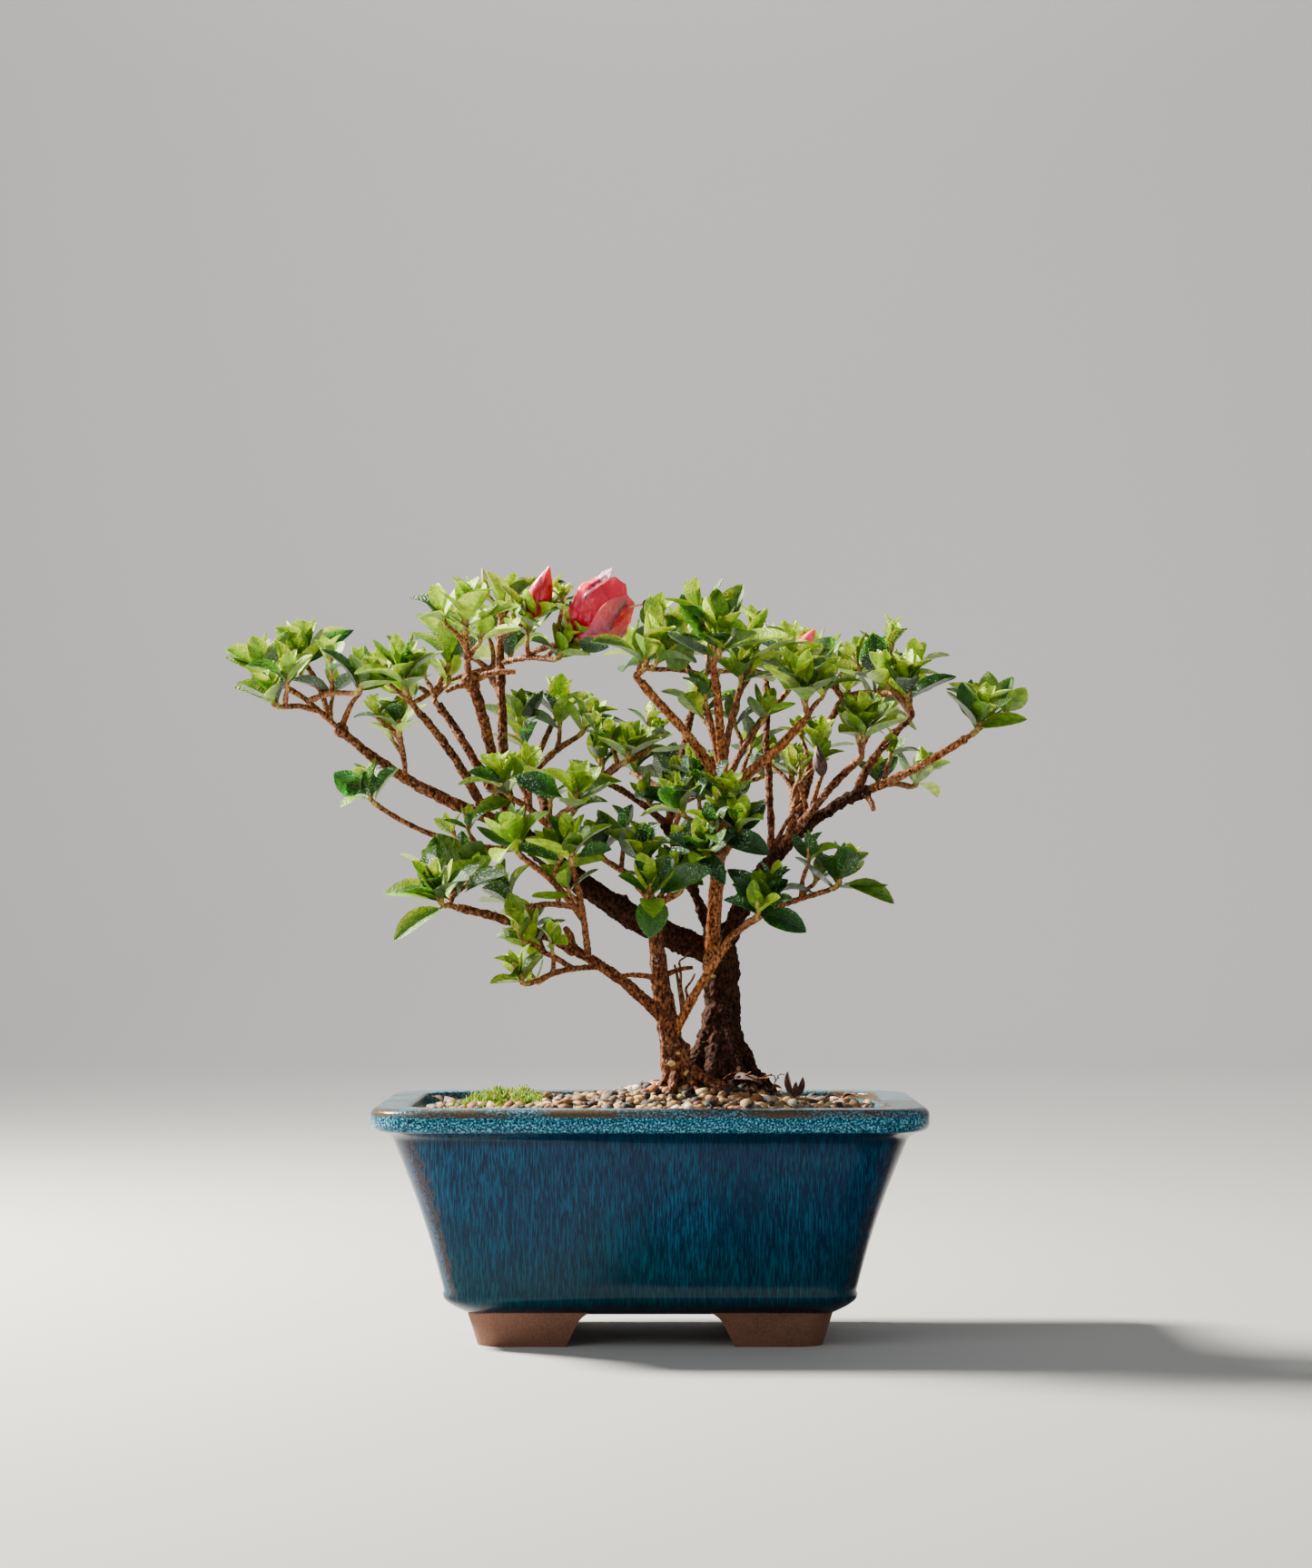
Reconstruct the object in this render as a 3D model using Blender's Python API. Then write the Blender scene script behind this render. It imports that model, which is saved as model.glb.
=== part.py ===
"""An azalea bonsai in a glazed rectangular pot, as separate solids for the pot, the filled soil, the trunk, each bough
and each mass of leaves. Sizes and places below are in millimetres from the middle of the pot at table level, with +X
to the right and -Y to the front; the meshes are in metres, +Z up."""

import math
import random
from collections import namedtuple

import bmesh
import bpy
from mathutils import Vector
from mathutils.bvhtree import BVHTree
from mathutils.geometry import delaunay_2d_cdt
from mathutils.noise import noise

MM = 0.001
GAP = 0.3
UP = Vector((0, 0, 1))

# The pot: a rim with a rounded lip, walls that taper to a smaller foot, and four corner feet.
RIM_LENGTH = 183.5
RIM_DEPTH = 140.0
RIM_TOP = 80.0
RIM_CORNER = 22.0
RIM_WIDTH = 12.5
CORNER_TIGHTENING = 0.45
SMALLEST_CORNER = 6.0
CORNER_STEPS = 4
EDGE_ROUNDING = 1.6
INNER_ROUNDING = 1.0
LIP_HEIGHT = 8.0
LIP_OVERHANG = 7.0
LIP_CHAMFER = (0.8, 1.2)
COVE_HEIGHT = 2.5
WALL_FOOT_INSET = 22.5
WALL_HOLLOW = 1.2
WALL_STEPS = 4
BASE_INSET = 31.0
BASE_BOTTOM = 11.0
BASE_BEAD_HEIGHT = 9.0
FLOOR_TOP = 17.0
FLOOR_INSET = 31.0
FOOT_LENGTH = 115.0
FOOT_DEPTH = 73.0
FOOT_FLARE = 7.0
FOOT_CORNER = 9.0
FOOT_SUNK = 1.6
ARCH_HEIGHT = 12.2
ARCH_SHOULDER = 2.5
FRONT_ARCH = (44.0, 58.0)
SIDE_ARCH = (22.0, 34.0)

# The soil fills the pot and rises to the trunk, whose flat cut stands in it. Its gravel lies in lumps, and a cushion
# of moss grows at the left.
SOIL_EDGE = 76.3
SOIL_TOP = 83.0
MOUND_X = 19.0
LUMP_SPACING = 16.0
LUMP_HEIGHT = 1.5
LUMP_MARGIN = 5.0
LUMP_CORNER = 16.0
MOSS_CENTRE = (-50.0, -6.0)
MOSS_REACH = (19.0, 14.0)
MOSS_RISE = 4.5
GROUND = 80.0

# What the triangulation of the gravel's surface is told: keep what the outline holds, and merge equal places.
FACES_INSIDE = 1
SAME_PLACE = 0.001

# Every limb has a kink or a swelling here and there. The two stems flare into roots.
LIMB_STEP = 11.0
LIMB_KINK = 1.1
LIMB_SWELLING = 0.1
STEM_STEPS = 11
STEM_KINK = 1.0
FLARE_FADE = 6.5

# Twigs end in a heart that the leaves stand on.
TWIG_STEP = 16.0
TWIG_SIDES = 3
TWIG_KINK = 0.8
TWIG_TIP = 0.75
SIDE_TWIG = 0.8
FIRST_FORK = 0.25
FORK_STEP = 0.12
LEAD_LENGTH = 2.5
HEART_LENGTH = 7.0
HEART_RADIUS = 1.35
HEART_TIP = 0.35

# Leaves stand round a shoot, low and long outside, upright and short inside.
LEAVES = 7
BLOOM_LEAVES = 5
LEAF_LENGTH = 19.0
LEAF_SHAPE = 0.52
LEAF_WIDEST = 0.58
LEAF_THICKNESS = 0.8
LEAF_CUP = 0.06
LEAF_TRIES = 5
LEAF_CLEARANCE = 0.7
BLADE_START = 0.3
BLADE_SHARE = 0.72
ROOT_DEPTH = 0.4
OUTER_SPLAY = 84.0
INNER_SPLAY = 28.0
SPLAY_SPREAD = 9.0
TURN_SPREAD = 0.25
INNER_SHORTER = 0.42
LEAF_LIFT = 0.12
GOLDEN_ANGLE = math.radians(137.5)

# A limb leaves its parent at a share of the parent's length and tapers to its tip. The bow lifts its middle.
Limb = namedtuple("Limb", "name parent share tip bow thick sides", defaults=[6])

LIMBS = (
    Limb("left_limb", "trunk", 0.93, (-49.4, 4, 175.4), -5.0, (8.8, 7.4), 8),
    Limb("right_limb", "trunk", 0.95, (75.1, 0, 185.9), 9.0, (7.2, 4.0), 8),
    Limb("centre_stem", "trunk", 0.84, (24.7, -20, 189.2), -1.0, (5.0, 4.3), 7),
    Limb("middle_limb", "trunk", 0.9, (5.2, 14, 174.4), 0.0, (4.6, 3.4)),
    Limb("low_left_bough", "front_stem", 0.46, (-64.9, -26, 145.4), 6.5, (4.0, 2.8)),
    Limb("crossing_bough", "front_stem", 0.36, (26.4, -26, 134.2), 1.0, (3.2, 2.6)),
    Limb("far_left_bough", "left_limb", 0.97, (-107.4, 4, 207.2), -4.0, (4.6, 3.0)),
    Limb("left_bough_1", "far_left_bough", 0.13, (-78.1, -20, 211.2), 2.0, (3.4, 2.7)),
    Limb("left_bough_2", "left_limb", 0.96, (-73.9, 18, 216.1), 1.0, (3.5, 2.8)),
    Limb("left_bough_3", "left_limb", 0.98, (-60.8, -16, 222.5), 1.0, (4.2, 3.5)),
    Limb("left_bough_4", "left_limb", 0.98, (-51.7, 0, 235.3), -1.0, (4.2, 2.6)),
    Limb("back_left_bough", "left_limb", 0.72, (-57.0, 48, 228.2), 4.0, (3.8, 2.6)),
    Limb("mid_bough", "middle_limb", 1.0, (-14.2, 6, 188.0), 1.0, (2.9, 2.3)),
    Limb("back_bough", "middle_limb", 0.96, (18.9, 52, 226.1), 4.0, (3.2, 2.4)),
    Limb("fan_bough_1", "centre_stem", 0.96, (-3.1, -32, 220.6), 1.0, (3.4, 2.8)),
    Limb("fan_bough_3", "centre_stem", 0.99, (21.4, -34, 223.8), 0.0, (3.1, 2.6)),
    Limb("fan_bough_6", "centre_stem", 0.92, (51.0, -30, 207.3), -1.0, (3.8, 2.8)),
    Limb("right_bough_1", "right_limb", 0.93, (88.2, 4, 209.7), 2.0, (3.2, 2.5)),
    Limb("right_bough_2", "right_limb", 0.5, (69.7, -14, 194.6), 1.0, (3.2, 2.6)),
    Limb("right_bough_3", "right_limb", 0.46, (40.1, 14, 223.8), 0.0, (3.0, 2.3)),
    Limb("far_right_bough", "right_limb", 0.96, (107.6, -6, 203.0), -1.0, (3.0, 2.3)),
    Limb("back_right_bough", "right_limb", 0.62, (67.2, 46, 218.4), 3.0, (3.0, 2.4)),
)

# A mass grows from a share of its bough. Each of its shoots ends in a rosette of leaves at the place given.
Mass = namedtuple("Mass", "name bough share shoots thick leaf bloom bow", defaults=[2.2, LEAF_LENGTH, None, 0.05])

MASSES = (
    Mass("leaves_fan_3", "fan_bough_3", 1.0, ((21.9, -46, 229.0),), 2.4, 25.0),
    Mass("leaves_fan_1", "fan_bough_1", 1.0, ((-1.8, -38, 225.0),), 2.4, 24.0),
    Mass("leaves_far_left", "far_left_bough", 1.0,
         ((-131.0, 6, 224.5), (-119.2, 14, 229.7), (-127.1, -8, 213.7), (-99.2, -16, 217.9))),
    Mass("leaves_far_right", "far_right_bough", 1.0, ((111.0, -8, 205.5), (117.0, 8, 208.5)), 2.0, 19.5),
    Mass("leaves_low_left", "low_left_bough", 1.0, ((-69.3, -30, 146.0), (-65.3, -14, 152.5)), 2.4, 20.0),
    Mass("leaves_crossing", "crossing_bough", 1.0, ((61.3, -30, 151.8), (36.0, -42, 142.4)), 2.2, 18.0),
    Mass("leaves_left_4", "left_bough_4", 1.0, ((-50.7, 0, 246.4), (-41.0, -14, 241.1)), 2.4, 18.0, "bud"),
    Mass("leaves_flower", "left_bough_4", 0.9, ((-32.0, -16, 229.3), (-24.6, -18, 236.0)), 2.2, 14.0, "flower"),
    Mass("leaves_left_3", "left_bough_3", 1.0, ((-61.9, -28, 239.2),), 2.8),
    Mass("leaves_left_2", "left_bough_2", 1.0, ((-71.0, 24, 229.3),)),
    Mass("leaves_left_1", "left_bough_1", 1.0, ((-82.1, -28, 218.1),)),
    Mass("leaves_left_small", "far_left_bough", 0.58, ((-85.2, -12, 204.2),), 1.8, 14.0),
    Mass("leaves_left_5", "left_limb", 0.94, ((-33.5, 28, 211.9), (-45.6, 20, 207.1), (-24.0, 14, 205.5)), 3.0, 16.0),
    Mass("leaves_low_far", "left_limb", 0.84, ((-94.2, -6, 181.0),), 2.4, 15.0, None, -0.09),
    Mass("leaves_elbow", "left_limb", 0.84, ((-25.2, -34, 179.3), (-48.0, -14, 183.3)), 2.6, 18.0),
    Mass("leaves_low_upper", "low_left_bough", 0.42,
         ((-25.8, -44, 160.4), (-43.3, -48, 163.0), (-46.2, -14, 145.0)), 2.4, 18.0),
    Mass("leaves_low_under", "low_left_bough", 0.36, ((-41.1, -38, 120.0), (-37.9, -24, 131.4)), 2.2, 14.0),
    Mass("leaves_front", "front_stem", 1.0,
         ((-2.2, -26, 159.1), (0.0, -44, 147.5), (9.7, -24, 150.3), (-16.1, -8, 162.1)), 3.2, 17.0),
    Mass("leaves_centre", "centre_stem", 0.55,
         ((28.9, -38, 168.3), (19.3, -38, 160.9), (26.4, -32, 177.1), (11.9, -28, 175.6)), 2.6, 16.0),
    Mass("leaves_middle_right", "middle_limb", 0.9, ((14.9, -6, 187.8), (8.8, -8, 179.1)), 2.2, 14.0),
    Mass("leaves_middle", "mid_bough", 1.0, ((-16.6, -2, 192.5), (-1.4, 12, 198.9), (-8.1, -12, 195.0)), 2.0, 15.0),
    Mass("leaves_fan_2", "centre_stem", 0.98, ((10.4, -12, 231.4),), 2.6, 20.0),
    Mass("leaves_fan_4", "centre_stem", 0.97, ((33.1, -26, 228.6),), 2.6, 20.0),
    Mass("leaves_fan_5", "centre_stem", 0.95, ((46.3, -8, 218.4),), 2.8, 19.0),
    Mass("leaves_fan_6", "fan_bough_6", 1.0, ((51.6, -38, 213.0),), 2.4, 20.0),
    Mass("leaves_right_1", "right_bough_1", 1.0, ((88.5, 2, 216.5), (78.7, 22, 225.7)), 2.4),
    Mass("leaves_right_2", "right_bough_2", 1.0, ((71.4, -24, 202.0),), 2.4, 18.0),
    Mass("leaves_right_3", "right_bough_3", 1.0, ((47.5, 10, 226.5),), 2.2, 18.0, "small_bud"),
    Mass("leaves_right_low", "right_limb", 1.0, ((90.7, 12, 187.2),), 2.4, 15.0),
    Mass("leaves_right_inner", "right_limb", 0.6, ((49.1, 18, 190.6), (57.4, 14, 198.4)), 2.2, 14.0),
    Mass("leaves_back_left", "back_left_bough", 1.0, ((-51.1, 62, 234.6), (-70.1, 52, 237.1), (-83.9, 42, 218.0))),
    Mass("leaves_back", "back_bough", 1.0, ((20.7, 64, 234.7), (-0.5, 52, 230.6), (41.7, 56, 228.6))),
    Mass("leaves_back_right", "back_right_bough", 1.0, ((61.1, 54, 228.8), (85.5, 40, 220.8), (76.7, 52, 212.6))),
    Mass("leaves_back_low", "middle_limb", 0.98, ((15.7, 52, 187.3), (-5.3, 46, 192.8), (38.2, 46, 191.2))),
)

# A twig of a mass: its object, its path up to the shoot, the path and radii of its solid, and what it bears.
Twig = namedtuple("Twig", "obj path whole radii axis tip bloom")

# Length and radius of the flower buds, and their swelling from root to point as (share of length, share of radius).
BUD_SIZES = {"bud": (20.0, 4.6), "small_bud": (15.5, 3.7)}
BUD_SWELLING = ((0.0, 0.25), (0.15, 0.8), (0.38, 1.0), (0.65, 0.72), (0.9, 0.25), (1.0, 0.06))
BUD_SIDES = 7

# The flower: outside up to the petals' edge, then down inside the throat.
FLOWER_SHAPE = ((0.0, 0.1), (0.3, 0.2), (0.62, 0.52), (1.0, 1.0), (0.86, 0.5), (0.5, 0.14))
PETAL_EDGE = 3
PETALS = 5
FLOWER_LENGTH = 20.0
FLOWER_RADIUS = 12.5
FLOWER_LEAN = Vector((0.62, -0.35, 0.7))

# A limb thinner than this has the colour of young bark.
OLDEST_YOUNG = 3.2
BARK_DARK = (0.07, 0.045, 0.035, 1)
BARK_YOUNG = (0.25, 0.12, 0.06, 1)
LEAF_GREEN = (0.12, 0.26, 0.05, 1)
GLAZE_BLUE = (0.01, 0.09, 0.15, 1)
GRAVEL = (0.42, 0.3, 0.2, 1)


def clear_scene():
    for obj in list(bpy.data.objects):
        bpy.data.objects.remove(obj, do_unlink=True)


def finish(obj, colour, roughness):
    """Gives an object its own material."""
    material = bpy.data.materials.new(obj.name)
    material.use_nodes = True
    shader = material.node_tree.nodes["Principled BSDF"]
    shader.inputs["Base Color"].default_value = colour
    shader.inputs["Roughness"].default_value = roughness
    shader.inputs["Metallic"].default_value = 0.0
    obj.data.materials.clear()
    obj.data.materials.append(material)


def mesh_object(name, points, faces, collection=None):
    """A mesh object from points in millimetres."""
    mesh = bpy.data.meshes.new(name)
    mesh.from_pydata([Vector(p) * MM for p in points], [], faces)
    obj = bpy.data.objects.new(name, mesh)
    (collection or bpy.context.scene.collection).objects.link(obj)
    return obj


def remove(obj):
    mesh = obj.data
    bpy.data.objects.remove(obj, do_unlink=True)
    bpy.data.meshes.remove(mesh)


def loft(rings):
    """Points and faces of a closed solid through rings of equal length that run anticlockwise, bottom to top."""
    count = len(rings[0])
    points = [point for ring in rings for point in ring]
    faces = [tuple(reversed(range(count)))]
    for level in range(len(rings) - 1):
        for k in range(count):
            low, next_low = level * count + k, level * count + (k + 1) % count
            faces.append((low, next_low, next_low + count, low + count))
    faces.append(tuple(range(len(points) - count, len(points))))
    return points, faces


def tube(path, radii, sides, lobes=None):
    """A tapering limb along a path, with flat ends. lobes changes the radius by angle and step."""
    rings = []
    ahead = (path[1] - path[0]).normalized()
    side = ahead.orthogonal().normalized()
    for step, (centre, radius) in enumerate(zip(path, radii)):
        onward = (path[min(step + 1, len(path) - 1)] - path[max(step - 1, 0)]).normalized()
        side = (ahead.rotation_difference(onward) @ side).normalized()
        ahead = onward
        across = ahead.cross(side)
        ring = []
        for k in range(sides):
            angle = math.tau * k / sides
            reach = radius * (lobes(angle, step) if lobes else 1)
            ring.append(centre + (side * math.cos(angle) + across * math.sin(angle)) * reach)
        rings.append(ring)
    return loft(rings)


def apply_boolean(obj, operation, other=None, collection=None):
    modifier = obj.modifiers.new(operation.title(), "BOOLEAN")
    modifier.operation = operation
    modifier.solver = "EXACT"
    if collection:
        modifier.operand_type = "COLLECTION"
        modifier.collection = collection
    else:
        modifier.object = other
    bpy.context.view_layer.update()
    graph = bpy.context.evaluated_depsgraph_get()
    mesh = bpy.data.meshes.new_from_object(obj.evaluated_get(graph))
    obj.modifiers.clear()
    old = obj.data
    obj.data = mesh
    bpy.data.meshes.remove(old)


def keep_main_shell(obj):
    """Drops loose scraps and fills sealed hollows, so that one closed shell is left."""
    bm = bmesh.new()
    bm.from_mesh(obj.data)
    bmesh.ops.triangulate(bm, faces=bm.faces)
    unseen = set(bm.verts)
    shells = []
    while unseen:
        shell, front = set(), [unseen.pop()]
        while front:
            vert = front.pop()
            shell.add(vert)
            linked = {edge.other_vert(vert) for edge in vert.link_edges} & unseen
            unseen -= linked
            front.extend(linked)
        shells.append(shell)
    volumes = []
    for shell in shells:
        faces = {face for vert in shell for face in vert.link_faces}
        volumes.append(sum(f.verts[0].co.dot(f.verts[1].co.cross(f.verts[2].co)) for f in faces) / 6)
    main = shells[volumes.index(max(volumes))]
    bmesh.ops.delete(bm, geom=[v for v in bm.verts if v not in main], context="VERTS")
    bm.to_mesh(obj.data)
    bm.free()


def tree_of(obj):
    """A search tree of an object's triangles."""
    obj.data.calc_loop_triangles()
    points = [v.co.copy() for v in obj.data.vertices]
    return BVHTree.FromPolygons(points, [tuple(t.vertices) for t in obj.data.loop_triangles])


def rounded_outline(length, depth, corner, z):
    """A rectangle with rounded corners, anticlockwise, at height z."""
    points = []
    for quarter, (sx, sy) in enumerate(((1, 1), (-1, 1), (-1, -1), (1, -1))):
        centre = Vector((sx * (length / 2 - corner), sy * (depth / 2 - corner), z))
        for k in range(CORNER_STEPS + 1):
            angle = math.pi / 2 * (quarter + k / CORNER_STEPS)
            points.append(centre + Vector((math.cos(angle), math.sin(angle), 0)) * corner)
    return points


def rim_outline(inset, z):
    """The rim's outline drawn in by inset. Its corners tighten as it goes in."""
    corner = max(RIM_CORNER - CORNER_TIGHTENING * inset, SMALLEST_CORNER)
    return rounded_outline(RIM_LENGTH - 2 * inset, RIM_DEPTH - 2 * inset, corner, z)


def outer_profile():
    """(inset, height) up the outside: base, bead, hollow wall, cove under the lip, lip and rim."""
    lip_bottom = RIM_TOP - LIP_HEIGHT
    wall_bottom = BASE_BOTTOM + BASE_BEAD_HEIGHT
    wall_top = lip_bottom - COVE_HEIGHT
    profile = [(BASE_INSET, BASE_BOTTOM)]
    for share in (0.4, 0.8, 1.0):
        bulge = math.sin(share * math.pi / 2)
        inset = BASE_INSET + (WALL_FOOT_INSET - BASE_INSET) * bulge
        profile.append((inset, BASE_BOTTOM + BASE_BEAD_HEIGHT * share))
    for k in range(1, WALL_STEPS + 1):
        share = k / WALL_STEPS
        inset = WALL_FOOT_INSET + (LIP_OVERHANG - WALL_FOOT_INSET) * share
        inset += WALL_HOLLOW * math.sin(math.pi * share)
        profile.append((inset, wall_bottom + (wall_top - wall_bottom) * share))
    profile.append((LIP_OVERHANG * 0.55, wall_top + 0.8))
    profile.append((LIP_CHAMFER[0], lip_bottom))
    profile.append((0.0, lip_bottom + LIP_CHAMFER[1]))
    profile.append((0.0, RIM_TOP - EDGE_ROUNDING))
    profile.append((EDGE_ROUNDING * 0.3, RIM_TOP - EDGE_ROUNDING * 0.3))
    profile.append((EDGE_ROUNDING, RIM_TOP))
    return profile


def inner_inset(z):
    """How far in from the rim's outline the inner wall stands at height z."""
    share = (RIM_TOP - z) / (RIM_TOP - FLOOR_TOP)
    return RIM_WIDTH + (FLOOR_INSET - RIM_WIDTH) * share


def arch_cutter(name, widths, along_y):
    """The opening between two feet: wider at the table, with rounded shoulders."""
    high, low = widths[0] / 2, widths[1] / 2
    half = [
        (low + 0.6, -1.0),
        (low, 0.0),
        (low - 1.6, ARCH_HEIGHT * 0.5),
        (high + 1.6, ARCH_HEIGHT * 0.82),
        (high - ARCH_SHOULDER, ARCH_HEIGHT),
    ]
    outline = half + [(-x, z) for x, z in reversed(half)]
    reach = max(RIM_LENGTH, RIM_DEPTH)
    rings = []
    for end in (reach, -reach):
        rings.append([Vector((x, end, z)) if along_y else Vector((-end, x, z)) for x, z in outline])
    cutter = mesh_object(name, *loft(rings))
    cutter.hide_render = True
    cutter.display_type = "WIRE"
    return cutter


def make_feet():
    """One block under the base, cut by two crossing arches into four corner feet."""
    rings = []
    for share, z in ((0.0, 0.0), (0.55, 5.0), (1.0, BASE_BOTTOM), (1.0, BASE_BOTTOM + FOOT_SUNK)):
        flare = FOOT_FLARE * share
        rings.append(rounded_outline(FOOT_LENGTH + flare, FOOT_DEPTH + flare, FOOT_CORNER, z))
    feet = mesh_object("feet", *loft(rings))
    for name, widths, along_y in (("front_arch", FRONT_ARCH, True), ("side_arch", SIDE_ARCH, False)):
        cutter = arch_cutter(name, widths, along_y)
        apply_boolean(feet, "DIFFERENCE", cutter)
        remove(cutter)
    return feet


def make_pot():
    """A hollow shell: up the outside, over the rim and down to the floor inside, with the feet joined on."""
    rings = [rim_outline(inset, z) for inset, z in outer_profile()]
    rings.append(rim_outline(RIM_WIDTH - INNER_ROUNDING, RIM_TOP))
    rings.append(rim_outline(inner_inset(RIM_TOP - INNER_ROUNDING), RIM_TOP - INNER_ROUNDING))
    rings.append(rim_outline(FLOOR_INSET, FLOOR_TOP))
    pot = mesh_object("pot", *loft(rings))
    feet = make_feet()
    apply_boolean(pot, "UNION", feet)
    remove(feet)
    keep_main_shell(pot)
    finish(pot, GLAZE_BLUE, 0.15)


def gravel_height(x, y):
    """The surface of the gravel: the mound at the trunk, its lumps and the cushion of moss."""
    half_length, half_depth = RIM_LENGTH / 2 - RIM_WIDTH, RIM_DEPTH / 2 - RIM_WIDTH
    reach = half_length - math.copysign(MOUND_X, x - MOUND_X)
    share = max(0.0, 1 - max(abs(x - MOUND_X) / reach, abs(y) / half_depth))
    mound = (SOIL_TOP - SOIL_EDGE) * share * share * (3 - 2 * share)
    turn = math.pi * math.sqrt(2) / LUMP_SPACING
    lump = LUMP_HEIGHT * (1 - share) * math.cos(x * turn) * math.cos(y * turn)
    away = math.hypot((x - MOSS_CENTRE[0]) / MOSS_REACH[0], (y - MOSS_CENTRE[1]) / MOSS_REACH[1])
    return SOIL_EDGE + mound + lump + MOSS_RISE * max(0.0, 1 - away * away)


def lump_places():
    """The tops of the lumps and the hollows between them, clear of the pot's wall."""
    step = LUMP_SPACING / math.sqrt(2)
    half_length, half_depth = RIM_LENGTH / 2 - RIM_WIDTH, RIM_DEPTH / 2 - RIM_WIDTH
    places = []
    for i in range(-int(half_length / step), int(half_length / step) + 1):
        for j in range(-int(half_depth / step), int(half_depth / step) + 1):
            over_x = max(0.0, abs(i * step) - half_length + LUMP_CORNER)
            over_y = max(0.0, abs(j * step) - half_depth + LUMP_CORNER)
            if math.hypot(over_x, over_y) < LUMP_CORNER - LUMP_MARGIN:
                places.append(Vector((i * step, j * step)))
    return places


def make_soil(cutters):
    """The gravel that fills the pot, with a seat cut for the trunk and the front stem."""
    foot, edge = [rim_outline(inner_inset(z) + GAP, z) for z in (FLOOR_TOP + GAP, SOIL_EDGE)]
    count = len(edge)
    places = [point.to_2d() for point in edge] + lump_places()
    flat, _, faces, sources, _, _ = delaunay_2d_cdt(places, [], [tuple(range(count))], FACES_INSIDE, SAME_PLACE)
    points, top = [], {}
    for number, (place, (source, *_)) in enumerate(zip(flat, sources)):
        top[source] = number
        points.append(Vector((*place, SOIL_EDGE if source < count else gravel_height(*place))))
    below = len(points)
    points += foot
    faces.append(tuple(reversed(range(below, below + count))))
    for k in range(count):
        after = (k + 1) % count
        faces.append((below + k, below + after, top[after], top[k]))
    soil = mesh_object("soil", points, faces)
    for cutter in cutters:
        apply_boolean(soil, "DIFFERENCE", cutter)
    keep_main_shell(soil)
    finish(soil, GRAVEL, 0.9)


def limb_path(start, tip, bow, kink, steps):
    """From start to tip, its middle lifted by bow, with kinks where buds once stood."""
    run = tip - start
    lift = (UP - run * (UP.dot(run) / run.length_squared)).normalized()
    path = []
    for k in range(steps + 1):
        share = k / steps
        wander = Vector((noise(start + UP * k * 7.3), noise(start - UP * k * 5.1), 0)) * kink
        fade = math.sin(math.pi * share)
        path.append(start + run * share + lift * (4 * bow * share * (1 - share)) + wander * fade)
    return path


def along(path, share):
    """The point and direction at a share of a path's steps."""
    place = min(max(share, 0.0), 1.0) * (len(path) - 1)
    step = min(int(place), len(path) - 2)
    point = path[step].lerp(path[step + 1], place - step)
    return point, (path[step + 1] - path[step]).normalized()


def stout(path, radii):
    """The same limb 0.3 mm larger all over, to cut its neighbours clear."""
    ends = [path[0] - (path[1] - path[0]).normalized() * GAP, path[-1] + (path[-1] - path[-2]).normalized() * GAP]
    return [ends[0], *path[1:-1], ends[1]], [radius + GAP * 1.15 for radius in radii]


class Frame:
    """The limbs made so far: paths, solids and the stouter cutters that keep their neighbours clear."""

    def __init__(self):
        self.paths = {}
        self.cutters = {}
        self.trees = {}

    def add(self, name, path, radii, sides, lobes=None):
        limb = mesh_object(name, *tube(path, radii, sides, lobes))
        self.carve(limb)
        self.paths[name] = path
        self.keep_clear(name, path, radii, sides, lobes)
        return limb

    def keep_clear(self, name, path, radii, sides, lobes=None):
        """Whatever is made later stays clear of this limb or twig."""
        cutter = mesh_object(name + "_cutter", *tube(*stout(path, radii), sides, lobes))
        self.cutters[name] = cutter
        self.trees[name] = tree_of(cutter)

    def carve(self, obj):
        """Cuts an object clear of every limb that it runs into."""
        tree = tree_of(obj)
        for name in self.cutters:
            if tree.overlap(self.trees[name]):
                apply_boolean(obj, "DIFFERENCE", self.cutters[name])
                keep_main_shell(obj)

    def touches(self, tree):
        return any(tree.overlap(other) for other in self.trees.values())

    def remove_cutters(self):
        for cutter in self.cutters.values():
            remove(cutter)


def root_lobes(count, depth, turn, fade_steps):
    """Ribs that run down into the roots and fade out up the stem."""

    def lobe(angle, step):
        strength = depth * max(0.0, 1 - step / fade_steps)
        return 1 + strength * math.cos(count * angle + turn) + 0.5 * strength * math.cos(2 * angle + 1.1)

    return lobe


def make_stem(frame, name, foot, tip, bow, thick, flare, sides, lobes):
    """The trunk or the front stem: a taper with a flare of roots, from its flat cut at ground level."""
    path = limb_path(foot, tip, bow, STEM_KINK, STEM_STEPS)
    path[0].z = foot.z
    radii = []
    for point in path:
        height = point.z - foot.z
        share = height / (tip.z - foot.z)
        radii.append((thick[0] + (thick[1] - thick[0]) * share) / 2 + flare * math.exp(-height / FLARE_FADE))
    path[1] = Vector((path[0].x, path[0].y, path[1].z))
    stem = frame.add(name, path, radii, sides, lobes)
    finish(stem, BARK_DARK, 0.9)


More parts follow.
